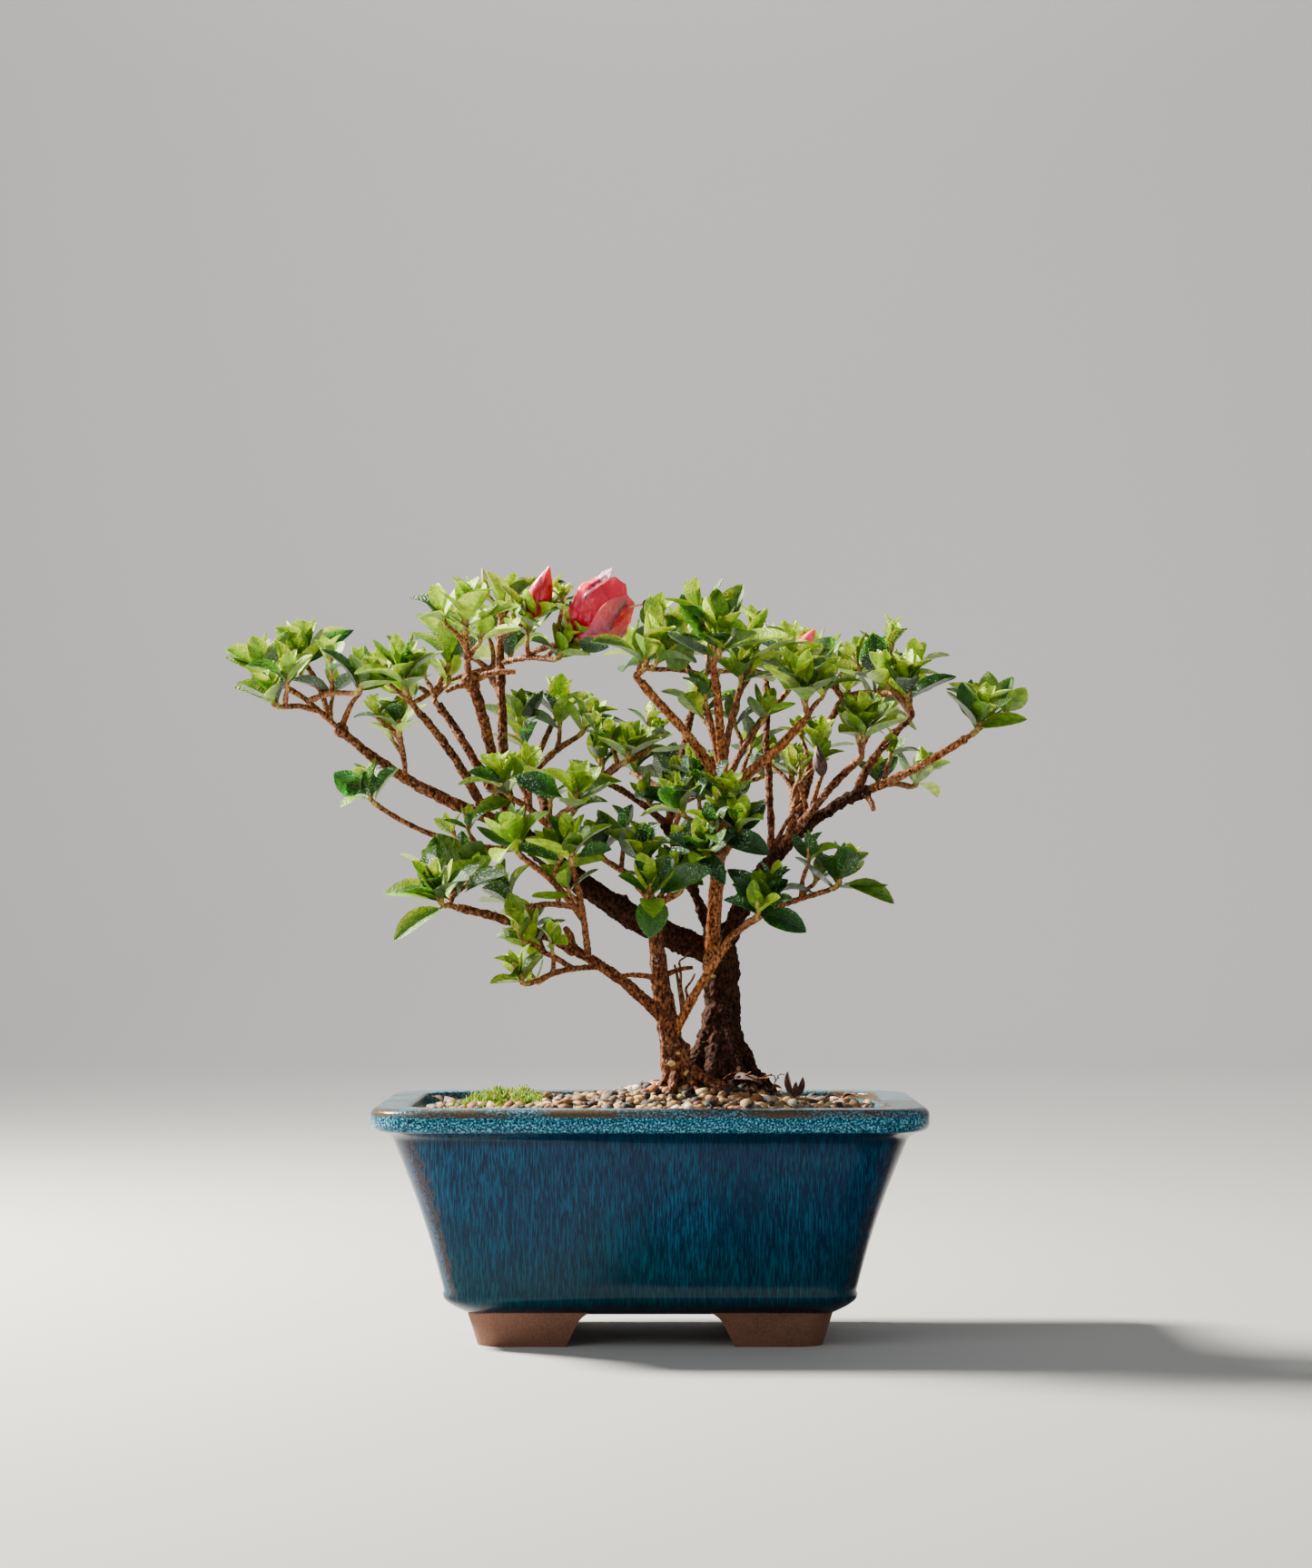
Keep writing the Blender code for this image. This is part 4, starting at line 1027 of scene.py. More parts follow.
def draw_tube(path, radii, sides_level):
    """A closed tube through points in millimetres, with a radius for each."""
    edit(add(bpy.ops.mesh.primitive_plane_add, size=0.001))
    bpy.ops.mesh.select_mode(type="VERT")
    bpy.ops.mesh.select_all(action="SELECT")
    bpy.ops.mesh.merge(type="CENTER")
    bpy.ops.transform.translate(value=place(*path[0]))
    for start, end in zip(path, path[1:]):
        bpy.ops.mesh.extrude_region_move(TRANSFORM_OT_translate={"value": (end - start) * MM})
    bpy.ops.object.mode_set(mode="OBJECT")
    bpy.ops.object.convert(target="CURVE")
    tube = bpy.context.object
    points = tube.data.splines[0].points
    foot = place(*path[0])
    if (points[0].co.to_3d() - foot).length > (points[-1].co.to_3d() - foot).length:
        radii = list(reversed(radii))
    for point, radius in zip(points, radii):
        point.radius = radius
    tube.data.dimensions = "3D"
    tube.data.bevel_depth = MM
    tube.data.bevel_resolution = sides_level
    tube.data.use_fill_caps = True
    bpy.ops.object.convert(target="MESH")
    return bpy.context.object


def knot(at, size):
    """A lump where boughs were cut or buds crowd."""
    return add(bpy.ops.mesh.primitive_ico_sphere_add, subdivisions=2, radius=size * MM, location=place(*at))


# %% Wood of each bark
NODE_SPACING = 7.0
NODE_SWELLING = 0.10


def knobbly(path, radii, seed):
    """The radii with swellings where leaves once stood, every few millimetres, and a slight wander."""
    rng = random.Random(seed)
    walked, out = 0.0, []
    offset = rng.uniform(0, NODE_SPACING)
    for k, (point, radius) in enumerate(zip(path, radii)):
        if k:
            walked += (point - path[k - 1]).length
        ring = math.cos((walked + offset) / NODE_SPACING * math.tau)
        out.append(radius * (1 + NODE_SWELLING * max(0.0, ring) ** 3 + rng.uniform(-0.03, 0.03)))
    return out


def side_growth(start, end, bow, kink, steps, thick, taper, spacing, seed, sides_level=1):
    """A root, stub or stalk, which gets thinner by the same share of its foot's radius at each step."""
    path = limb_path(Vector(start), Vector(end), bow, kink, steps)
    fine, radii = finer(path, [thick * (1 - taper * k) for k in range(steps + 1)], spacing)
    return draw_tube(fine, knobbly(fine, radii, seed), sides_level)


# Start, end and radius of the ridges and roots at the foot.
ROOTS = (
    ((26, 4, 108), (43, 0, 82), 3.7), ((25, 3, 107), (34, -17, 82), 3.7), ((23, 3, 106), (19, -19, 82), 4.0),
    ((22, 4, 106), (3, 6, 82), 4.0), ((22, 8, 106), (10, 22, 82), 4.0), ((24, 9, 107), (27, 26, 82), 4.0),
    ((26, 7, 107), (42, 18, 82), 4.0), ((23.5, 4.5, 112), (12, -7, 90), 4.0), ((20, 1, 99), (10, -8, 84), 5.0),
    ((26, -3, 95), (12, -21, 83), 2.6), ((29, -3, 91), (43, -12, 83), 2.0), ((19, -4, 91), (6, -19, 83), 1.9),
    ((22, 3, 111), (13, -8, 88), 3.3), ((22, 3, 106), (14, -9, 84), 3.9), ((21, 1, 102), (16, -14, 83), 3.4),
    ((7.8, -11, 106), (17, -6, 84), 3.3), ((8, -11, 101), (25, -18, 83), 2.9), ((9, -10, 96), (32, -15, 83), 2.1),
    ((22, 2, 99), (29, -19, 83), 2.4),
    ((9.5, -10.5, 100), (1, -12, 82), 2.9), ((10, -11, 100), (6, -21, 82), 2.9), ((11, -11, 99), (17, -20, 82), 2.7),
)
# Limb, share of its length, and radius.
KNOTS = (
    ("far_left_bough", 0.98, 2.9), ("left_bough_3", 1.0, 3.4), ("left_bough_3", 0.95, 2.7), ("left_limb", 1.0, 4.2),
    ("left_limb", 0.97, 4.0), ("centre_stem", 1.0, 3.0), ("right_limb", 0.98, 2.8), ("trunk", 0.97, 5.6),
    ("low_left_bough", 0.5, 2.7), ("front_stem", 0.98, 2.9), ("middle_limb", 0.98, 2.4), ("left_bough_1", 0.05, 2.1),
    ("far_right_bough", 0.98, 1.7), ("fan_bough_6", 0.1, 2.4), ("low_left_bough", 0.97, 1.9),
    ("left_limb", 0.45, 4.4),
)
SPACING = 2.2
BETWEEN_STEMS = 14

tubes = {"old": [], "red": [], "young": []}
for name, path in paths.items():
    fine, radii = finer(path, girth[name], SPACING)
    tubes[bark_of[name]].append(draw_tube(fine, knobbly(fine, radii, name), 3))
for start, end, thick in ROOTS:
    root = side_growth(start, end, -2.4, 2.2, 5, thick, 0.10, SPACING, str(start), sides_level=2)
    tubes["old" if start[0] > BETWEEN_STEMS else "red"].append(root)
for limb, share, size in KNOTS:
    at, _ = along(paths[limb], share)
    tubes[bark_of[limb]].append(knot(at, size))
print({bark: len(group) for bark, group in tubes.items()})

# %% [markdown]
# The relief of the bark comes from displacement. Old wood is broken into plates with deep cracks, so its texture is
# a Voronoi pattern, drawn out up the trunk by an empty object that is taller than wide. Younger wood has finer
# scales. The finishes are almost black brown on old wood, red-brown on the boughs and orange-brown on the youngest.

# %% Bark relief
# Each bark's voxel, plates (size, depth, stretch), and size and depth of its grain and its gnarls.
VOXEL = {"old": 0.42, "red": 0.40, "young": 0.38}
PLATES = {"old": (2.4, 1.7, 1.8), "red": (1.5, 0.7, 1.3), "young": (1.3, 0.55, 1.2)}
GRAIN = {"old": (0.9, 0.7), "red": (0.7, 0.4), "young": (0.6, 0.32)}
GNARLS = {"old": (6.0, 2.2), "red": (4.0, 0.9), "young": (4.0, 0.5)}

drawn_out = bpy.data.objects.new("drawn_out", None)
bpy.context.scene.collection.objects.link(drawn_out)


def roughen(wood, bark):
    """Gnarls, plates and grain, pushed out along the normals."""
    displace(wood, *GNARLS[bark])
    size, depth, stretch = PLATES[bark]
    drawn_out.scale = (1, 1, stretch)
    bpy.context.view_layer.update()
    displace(wood, size, depth, "VORONOI", {"weight_1": -1.0, "weight_2": 1.0}, 0.35,
             texture_coords="OBJECT", texture_coords_object=drawn_out)
    displace(wood, *GRAIN[bark], look={"noise_depth": 1})


def bark_finish(name, crack, body, edge, lichen, roughness):
    """Dark cracks, a body colour, the paler edges of its flakes, and patches of lichen."""
    made = Finish(name, Roughness=roughness, Specular_IOR_Level=0.07)
    flakes = made.cells(0.75, (1, 1, 0.6))
    grain = made.noise(1.3, 4.0, (1, 1, 0.5))
    colour = made.mix(made.ramp(flakes, 0.15, 0.75), edge, body)
    colour = made.mix(made.ramp(grain, 0.56, 0.36), colour, crack)
    patches = made.ramp(made.noise(0.10, 3.0), 0.52, 0.72)
    colour = made.mix(made.times(patches, made.ramp(made.noise(1.0, 3.0), 0.5, 0.62)), colour, lichen)
    made.colour(colour)
    made.bump(made.plus(grain, made.times(flakes, 0.5)), 0.35, 0.8)
    return made


BARKS = {
    "old": bark_finish("old_bark", (0.006, 0.003, 0.002), (0.030, 0.012, 0.007), (0.072, 0.028, 0.015),
                       (0.09, 0.042, 0.022), 0.92),
    "red": bark_finish("red_bark", (0.010, 0.003, 0.002), (0.088, 0.026, 0.010), (0.30, 0.105, 0.040),
                       (0.40, 0.22, 0.13), 0.68),
    "young": bark_finish("young_bark", (0.024, 0.007, 0.003), (0.24, 0.066, 0.017), (0.56, 0.215, 0.066),
                         (0.64, 0.39, 0.19), 0.62),
}
for bark, group in tubes.items():
    piece = join(group, bark + "_wood")
    modify(piece, "REMESH", mode="VOXEL", voxel_size=VOXEL[bark] * MM)
    roughen(piece, bark)
    bpy.ops.object.shade_smooth()
    wear(piece, BARKS[bark])
    nodes = [name for name, kind in bark_of.items() if kind == bark]
    hand_over(piece, "old_bark" if bark == "old" else "young_bark", *nodes)
bpy.data.objects.remove(drawn_out)

# %% [markdown]
# ## Twigs
# A mass of leaves starts at a share of its bough. Its stem ends in the first shoot, and side twigs leave the stem for
# the other shoots. Each shoot turns up towards the light. The table says where each shoot ends, as the solids have
# it. Finer twigs are then added by the same rule, shorter and to the sides, so that the crown closes where it should.

# %% The rule of the twigs
GOLDEN_ANGLE = math.radians(137.5)
TWIG_STEP = 16.0
TWIG_KINK = 0.8
TWIG_TIP = 0.95
SIDE_TWIG = 1.0
FIRST_FORK = 0.25
FORK_STEP = 0.12
LEAD_LENGTH = 2.5
HEART_LENGTH = 7.0
HEART_RADIUS = 1.35
HEART_TIP = 0.35
MAIN_LEAF = 1.06
MAIN_LEAVES = 10
TWIG_BOW = 0.05
TWIG_BOWS = {"leaves_low_far": -0.09}
BLOOMS = {"leaves_left_4": "bud", "leaves_flower": "flower", "leaves_right_3": "small_bud"}

# Name, bough, share of the bough's length, tips of the shoots, thickness of the stem and length of a leaf.
MASSES = (
    ("leaves_fan_3", "fan_bough_3", 1.0, ((21.9, -46, 229),), 2.4, 25),
    ("leaves_fan_1", "fan_bough_1", 1.0, ((-1.8, -38, 225),), 2.4, 24),
    ("leaves_far_left", "far_left_bough", 1.0,
     ((-131, 6, 224.5), (-119.2, 14, 229.7), (-127.1, -8, 213.7), (-99.2, -16, 217.9)), 2.2, 19),
    ("leaves_far_right", "far_right_bough", 1.0, ((111, -8, 205.5), (117, 8, 208.5)), 2, 19.5),
    ("leaves_low_left", "low_left_bough", 1.0, ((-69.3, -30, 146), (-65.3, -14, 152.5)), 2.4, 20),
    ("leaves_crossing", "crossing_bough", 1.0, ((61.3, -30, 151.8), (36, -42, 142.4)), 2.2, 18),
    ("leaves_left_4", "left_bough_4", 1.0, ((-50.7, 0, 246.4), (-41, -14, 241.1)), 2.4, 18),
    ("leaves_flower", "left_bough_4", 0.9, ((-32, -16, 229.3), (-24.6, -18, 236)), 2.2, 14),
    ("leaves_left_3", "left_bough_3", 1.0, ((-61.9, -28, 239.2),), 2.8, 19),
    ("leaves_left_2", "left_bough_2", 1.0, ((-71, 24, 229.3),), 2.2, 19),
    ("leaves_left_1", "left_bough_1", 1.0, ((-82.1, -28, 218.1),), 2.2, 19),
    ("leaves_left_small", "far_left_bough", 0.58, ((-85.2, -12, 204.2),), 1.8, 14),
    ("leaves_left_5", "left_limb", 0.94, ((-33.5, 28, 211.9), (-45.6, 20, 207.1), (-24, 14, 205.5)), 3, 16),
    ("leaves_low_far", "left_limb", 0.84, ((-94.2, -6, 181),), 2.4, 15),
    ("leaves_elbow", "left_limb", 0.84, ((-25.2, -34, 179.3), (-48, -14, 183.3)), 2.6, 18),
    ("leaves_low_upper", "low_left_bough", 0.42,
     ((-25.8, -44, 160.4), (-43.3, -48, 163), (-46.2, -14, 145)), 2.4, 18),
    ("leaves_low_under", "low_left_bough", 0.36, ((-41.1, -38, 120), (-37.9, -24, 131.4)), 2.2, 14),
    ("leaves_front", "front_stem", 1.0,
     ((-2.2, -26, 159.1), (0, -44, 147.5), (9.7, -24, 150.3), (-16.1, -8, 162.1)), 3.2, 17),
    ("leaves_centre", "centre_stem", 0.55,
     ((28.9, -38, 168.3), (19.3, -38, 160.9), (26.4, -32, 177.1), (11.9, -28, 175.6)), 2.6, 16),
    ("leaves_middle_right", "middle_limb", 0.9, ((14.9, -6, 187.8), (8.8, -8, 179.1)), 2.2, 14),
    ("leaves_middle", "mid_bough", 1.0, ((-16.6, -2, 192.5), (-1.4, 12, 198.9), (-8.1, -12, 195)), 2, 15),
    ("leaves_fan_2", "centre_stem", 0.98, ((10.4, -12, 231.4),), 2.6, 20),
    ("leaves_fan_4", "centre_stem", 0.97, ((33.1, -26, 228.6),), 2.6, 20),
    ("leaves_fan_5", "centre_stem", 0.95, ((46.3, -8, 218.4),), 2.8, 19),
    ("leaves_fan_6", "fan_bough_6", 1.0, ((51.6, -38, 213),), 2.4, 20),
    ("leaves_right_1", "right_bough_1", 1.0, ((88.5, 2, 216.5), (78.7, 22, 225.7)), 2.4, 19),
    ("leaves_right_2", "right_bough_2", 1.0, ((71.4, -24, 202),), 2.4, 18),
    ("leaves_right_3", "right_bough_3", 1.0, ((47.5, 10, 226.5),), 2.2, 18),
    ("leaves_right_low", "right_limb", 1.0, ((90.7, 12, 187.2),), 2.4, 15),
    ("leaves_right_inner", "right_limb", 0.6, ((49.1, 18, 190.6), (57.4, 14, 198.4)), 2.2, 14),
    ("leaves_back_left", "back_left_bough", 1.0, ((-51.1, 62, 234.6), (-70.1, 52, 237.1), (-83.9, 42, 218)), 2.2, 19),
    ("leaves_back", "back_bough", 1.0, ((20.7, 64, 234.7), (-0.5, 52, 230.6), (41.7, 56, 228.6)), 2.2, 19),
    ("leaves_back_right", "back_right_bough", 1.0,
     ((61.1, 54, 228.8), (85.5, 40, 220.8), (76.7, 52, 212.6)), 2.2, 19),
    ("leaves_back_low", "middle_limb", 0.98, ((15.7, 52, 187.3), (-5.3, 46, 192.8), (38.2, 46, 191.2)), 2.2, 19),
)


class Shoot:
    """A twig with its path in millimetres, the way it turns up at its end, and the rosette that it will carry."""

    def __init__(self, mass, path, thick, leaf, leaves, bloom=None, heart=1.0):
        self.mass, self.path, self.thick, self.leaf, self.leaves = mass, path, thick, leaf, leaves
        self.bloom, self.heart, self.tip = bloom, heart, path[-1]
        self.axis = (along(path, 1.0)[1] * 0.5 + UP * 0.75).normalized()

    def tube(self):
        """The path and radii of the twig, with the swelling at its end that the leaves stand on."""
        whole = [*self.path, self.tip + self.axis * (HEART_LENGTH * 0.5 * self.heart),
                 self.tip + self.axis * (HEART_LENGTH * self.heart)]
        last = len(self.path) - 1
        taper = [self.thick + (TWIG_TIP * self.heart - self.thick) * k / last for k in range(len(self.path))]
        return whole, [*taper, HEART_RADIUS * self.heart, HEART_TIP * self.heart]


def grow_shoots(name, bough, share, places, thick, leaf):
    """The shoots of one mass, as its solid has them. The last one may carry a bloom."""
    start, onward = along(paths[bough], share)
    grown = []
    for number, shoot in enumerate(places):
        tip = Vector(shoot)
        lead = []
        if grown:
            origin, _ = along(grown[0].path, FIRST_FORK + FORK_STEP * number)
            girth_here = thick / 2 * SIDE_TWIG
        else:
            if share == 1.0:
                lead = [start - onward * 2.0]
            origin = start + onward * LEAD_LENGTH if lead else start
            girth_here = thick / 2
        run = (tip - origin).length
        bow = TWIG_BOWS.get(name, TWIG_BOW) * run
        path = lead + limb_path(origin, tip, bow, TWIG_KINK, max(2, round(run / TWIG_STEP)))
        bloom = BLOOMS.get(name) if number == len(places) - 1 else None
        grown.append(Shoot(name, path, girth_here, leaf * MAIN_LEAF, MAIN_LEAVES, bloom))
    return grown


# %% Finer twigs
FINER_SHARES = (0.35, 0.5, 0.65, 0.8)
FINER_LENGTH = (7.0, 14.0)
FINER_LEAF = (0.66, 0.92)
FINER_LEAVES = (5, 6, 7)
FINER_HEART = 0.7
FINER_THICK = 0.95
SHORTEST_BEARER = 9.0


def finer_shoots(parent, rng, count):
    """Short side twigs near the end of a shoot's twig, each with a smaller rosette."""
    shoots = []
    length = sum((b - a).length for a, b in zip(parent.path, parent.path[1:]))
    if length < SHORTEST_BEARER:
        return shoots
    turn = rng.uniform(0, math.tau)
    for number in range(count):
        origin, onward = along(parent.path, rng.choice(FINER_SHARES))
        side = onward.orthogonal().normalized()
        across = onward.cross(side)
        angle = turn + GOLDEN_ANGLE * (number + 0.4)
        outward = (side * math.cos(angle) + across * math.sin(angle)) * 0.75 + onward * 0.5 + UP * 0.6
        run = rng.uniform(*FINER_LENGTH)
        tip = origin + outward.normalized() * run
        path = limb_path(origin, tip, 0.06 * run, TWIG_KINK, 2)
        leaf = parent.leaf * rng.uniform(*FINER_LEAF)
        shoots.append(Shoot(parent.mass, path, FINER_THICK, leaf, rng.choice(FINER_LEAVES), heart=FINER_HEART))
    return shoots


shoots = []
for name, bough, share, places, thick, leaf in MASSES:
    rng = random.Random(name + " finer")
    main = grow_shoots(name, bough, share, places, thick, leaf)
    finer_count = 2 if len(places) < 3 else 1
    shoots += main + [shoot for parent in main for shoot in finer_shoots(parent, rng, finer_count)]
main_shoots = sum(len(row[3]) for row in MASSES)
print("shoots:", main_shoots, "as in the solids and", len(shoots) - main_shoots, "finer")

# %% [markdown]
# A trained tree also shows where it was cut: bare stubs stand on the limbs and dry suckers at the foot. A few stalks
# carry a bud or a seed capsule. Each twig is drawn as two tubes that meet, a woody one and a short green end, so that
# each can have its own finish.

# %% Twigs, stubs and suckers
TWIG_SPACING = 1.0
GREEN_END = 9.5

# Foot, tip and radius of the dry suckers.
DRY = (
    ((11, -14, 110), (8.2, -19, 126), 0.85), ((11.4, -14, 110), (9.8, -18, 127), 0.8),
    ((9.8, -18, 126), (13.5, -18, 130), 0.4), ((12, -15, 112), (15, -19, 123), 0.6),
    ((30, -6, 84), (34, -16, 90), 0.5), ((28, -8, 84), (40, -17, 88.0), 0.45), ((22, -8, 84), (29, -19, 90.0), 0.45),
    ((36, -2, 84), (41, -12, 89.0), 0.5), ((39, -8, 82), (38.5, -11, 89), 0.3), ((41, -9, 82), (43.5, -12, 88), 0.3),
    ((42.6, -11.6, 86.5), (40.0, -12, 88.5), 0.25), ((43.3, -12, 87.5), (45.6, -12, 88.8), 0.25),
)
# Limb, share of its length, way from there to the stub's end, and radius.
STUBS = (
    ("far_left_bough", 0.98, (7, -3, 13), 1.2), ("left_bough_3", 0.99, (15, -2, 3), 1.5),
    ("left_bough_3", 0.95, (-9, -3, -2), 1.2), ("low_left_bough", 0.5, (-2, -3, 7), 1.7),
    ("right_limb", 0.96, (4, -4, -6), 1.2), ("front_stem", 0.72, (-15, -3, 1), 1.2),
    ("front_stem", 0.72, (11, 3, 4), 1.1), ("centre_stem", 0.16, (4, -4, 22), 1.15),
    ("right_limb", 0.55, (3, -6, 9), 1.1), ("left_limb", 0.7, (-3, -6, 7), 1.2),
    ("centre_stem", 0.62, (-5, -4, 6), 0.9), ("right_limb", 0.7, (-4, -9, 14), 1.1),
    ("centre_stem", 0.6, (-4, -8, 11), 1.0),
)
# Limb, share of its length, tip and radius.
STALKS = (
    ("right_limb", 0.70, (58.5, -10, 190.6), 1.15), ("centre_stem", 0.56, (20.5, -31, 170.2), 1.0),
    ("centre_stem", 0.10, (25.3, -25, 157.5), 0.75), ("right_limb", 0.40, (52.0, 4, 181.0), 0.95),
    ("front_stem", 0.98, (9.0, -20, 160.0), 0.9), ("middle_limb", 0.75, (16.0, 4, 176.0), 0.85),
)
twigs, shoot_ends, dry = [], [], []
for number, shoot in enumerate(shoots):
    whole, radii = shoot.tube()
    fine, radii = finer(whole, radii, TWIG_SPACING)
    radii = knobbly(fine, radii, number)
    cut = max(2, len(fine) - round(GREEN_END * shoot.heart / TWIG_SPACING))
    twigs.append(draw_tube(fine[:cut + 1], radii[:cut + 1], 1))
    shoot_ends.append(draw_tube(fine[cut:], radii[cut:], 1))
for number, (limb, share, run, radius) in enumerate(STUBS):
    start, _ = along(paths[limb], share)
    twigs.append(side_growth(start, start + Vector(run), 1.0, 1.2, 3, radius, 0.12, TWIG_SPACING, number))
for limb, share, tip, radius in STALKS:
    start, _ = along(paths[limb], share)
    twigs.append(side_growth(start, tip, 1.5, 1.2, 4, radius, 0.08, TWIG_SPACING, tip[0]))
for number, (start, end, radius) in enumerate(DRY):
    dry.append(side_growth(start, end, 1.0, 2.0, 4, radius, 0.13, TWIG_SPACING, number))
print("tubes:", len(twigs), "woody,", len(shoot_ends), "green and", len(dry), "dry")

# %% Finish of the twigs
SCAR_SIZE = 0.9
SCAR_DEPTH = 0.55


def twig_finish(name, scar, body, scale):
    """Paler scales on a body colour, with dark scars in the grain."""
    made = Finish(name, Roughness=0.68, Specular_IOR_Level=0.2)
    flakes = made.cells(1.3, (1, 1, 0.6))
    grain = made.noise(1.1, 3.0, (1, 1, 0.6))
    colour = made.mix(made.ramp(flakes, 0.2, 0.6), scale, body)
    made.colour(made.mix(made.ramp(grain, 0.52, 0.38), colour, scar))
    made.bump(made.plus(flakes, grain), 0.4, 0.9)
    return made


twig_bark = twig_finish("twig_bark", (0.045, 0.013, 0.005), (0.22, 0.066, 0.021), (0.42, 0.18, 0.06))
shoot_end = twig_finish("shoot_end", (0.16, 0.06, 0.015), (0.34, 0.22, 0.05), (0.46, 0.36, 0.10))
for name, group, finish in (("twigs", twigs, twig_bark), ("shoot_ends", shoot_ends, shoot_end)):
    piece = join(group, name)
    displace(piece, SCAR_SIZE, SCAR_DEPTH, look={"noise_depth": 1})
    finish_off(piece, finish, "young_bark")
finish_off(join(dry, "dry_suckers"), BARKS["red"], "young_bark")

# %% [markdown]
# Where a bough was sawn off flush, a pale disc is left, and the bark rolls over its rim. One disc is a short cylinder
# whose upper face is inset twice. Shoots and young boughs are covered with short bristles. A bristle is a cone of
# three sides with a bent tip, and thousands of them lean along the wood.

# %% Cut scars
# Place, way it looks, and radius in millimetres.
SCARS = (
    ((7.2, -14.9, 92.7), (-0.2, -1, 0.15), 1.4), ((12.8, -15.4, 89.4), (0.25, -1, 0.2), 1.5),
    ((9.4, -14.9, 96.2), (0.05, -1, 0.2), 0.7), ((21.2, 0.9, 122.0), (-0.6, -0.8, 0.1), 0.8),
    ((27.5, -2.4, 95.5), (0.2, -1, 0.2), 0.8),
)
SCAR_SIDES = 14
SCAR_NARROWER = 0.75


def cut_scar():
    """A flat disc, raised at its rim where the bark has rolled over the cut."""
    edit(add(bpy.ops.mesh.primitive_cylinder_add, vertices=SCAR_SIDES, radius=1, depth=1.6, location=(0, 0, -0.6)))
    pick("FACE", lambda at, face: face.normal.z > 0.9)
    bpy.ops.mesh.inset(thickness=0.2)
    bpy.ops.mesh.inset(thickness=0.08)
    bpy.ops.transform.translate(value=(0, 0, 0.12))
    bpy.ops.mesh.select_all(action="SELECT")
    bpy.ops.transform.vertex_random(offset=0.12, seed=3)
    template = template_of(leave_edit(), "cut_scar")
    for face in template.data.polygons:
        face.material_index = 0 if len(face.vertices) > 4 and face.center.z > 0 else 1
    return template


scar = cut_scar()
copies = []
for at, facing, radius in SCARS:
    size = Matrix.Diagonal((radius * MM, radius * SCAR_NARROWER * MM, radius * MM, 1))
    copies.append((scar, Matrix.Translation(place(*at)) @ turned_to(Vector(facing)) @ size))
fresh_wood = Finish("fresh_wood", (0.50, 0.38, 0.12), Roughness=0.6)
hand_over(scatter("cut_scars", copies, [fresh_wood, BARKS["red"]], smooth=False), "young_bark")

# %% Bristles
BRISTLE_SPACING = 0.42
BRISTLE_LENGTH = (0.45, 1.0)
BRISTLE_LEAN = (0.3, 1.1)
BRISTLY_LIMBS = ("centre_stem", "crossing_bough", "fan_bough_1", "fan_bough_3", "fan_bough_6", "far_right_bough",
                 "front_stem", "low_left_bough", "right_bough_1")

edit(add(bpy.ops.mesh.primitive_cone_add, vertices=3, radius1=0.16, radius2=0.02, depth=1, location=(0, 0, 0.4)))
pick("VERT", lambda at, vert: at.z > 0.5)
bpy.ops.transform.translate(value=(0.25, 0, 0))
bristle = template_of(leave_edit(), "bristle")

rng = random.Random("bristles")
bristled = [(*finer(paths[name], girth[name], BRISTLE_SPACING), 2) for name in BRISTLY_LIMBS]
for shoot in shoots:
    whole, radii = shoot.tube()
    bristled.append((*finer(whole[:-1], radii[:-1], BRISTLE_SPACING), 1))
bristles = []
for path, radii, rounds in bristled:
    for point, radius, after in zip(path, radii, path[1:]):
        for _ in range(rounds):
            onward = (after - point).normalized()
            turn = Matrix.Rotation(rng.uniform(0, math.tau), 3, onward)
            outward = turn @ onward.orthogonal().normalized()
            ahead = (outward + onward * rng.uniform(*BRISTLE_LEAN)).normalized()
            size = rng.uniform(*BRISTLE_LENGTH) * MM
            root = Matrix.Translation(place(*(point + outward * radius * 0.9)))
            bristles.append((bristle, root @ turned_to(ahead) @ Matrix.Scale(size, 4)))
pale_hair = Finish("bristles", (0.46, 0.24, 0.09), Roughness=0.6)
hand_over(scatter("bristles", bristles, [pale_hair], smooth=False), "young_bark")

# %% [markdown]
# ## Leaves
# One leaf is a grid, five faces wide and eight long. Each row is resized to the leaf's outline and lifted into an
# arch, the two sides are folded up from the midrib, and a coarser layer closes it underneath. The midrib is a narrow
# column of its own. Five forms that differ in arch and fold are enough, because size, turn and lean vary too.

# %% One leaf
# Share of the length, and width there as a share of the widest.
OUTLINE = (
    (0.0, 0.05), (0.09, 0.15), (0.20, 0.55), (0.35, 0.89), (0.52, 1.0), (0.69, 0.92), (0.83, 0.67), (0.94, 0.31),
    (1.0, 0.03),
)
TIP_FROM = 0.94
LEAF_SHAPE = 0.49
COLUMNS = (-1.0, -0.52, -0.07, 0.07, 0.52, 1.0)
UNDER_COLUMNS = (-1.0, 0.0, 1.0)
BLADE_THICK = 0.022
# What is already shaped is set aside by so much, out of the next selection's reach.
ASIDE = 5
AWAY = 10


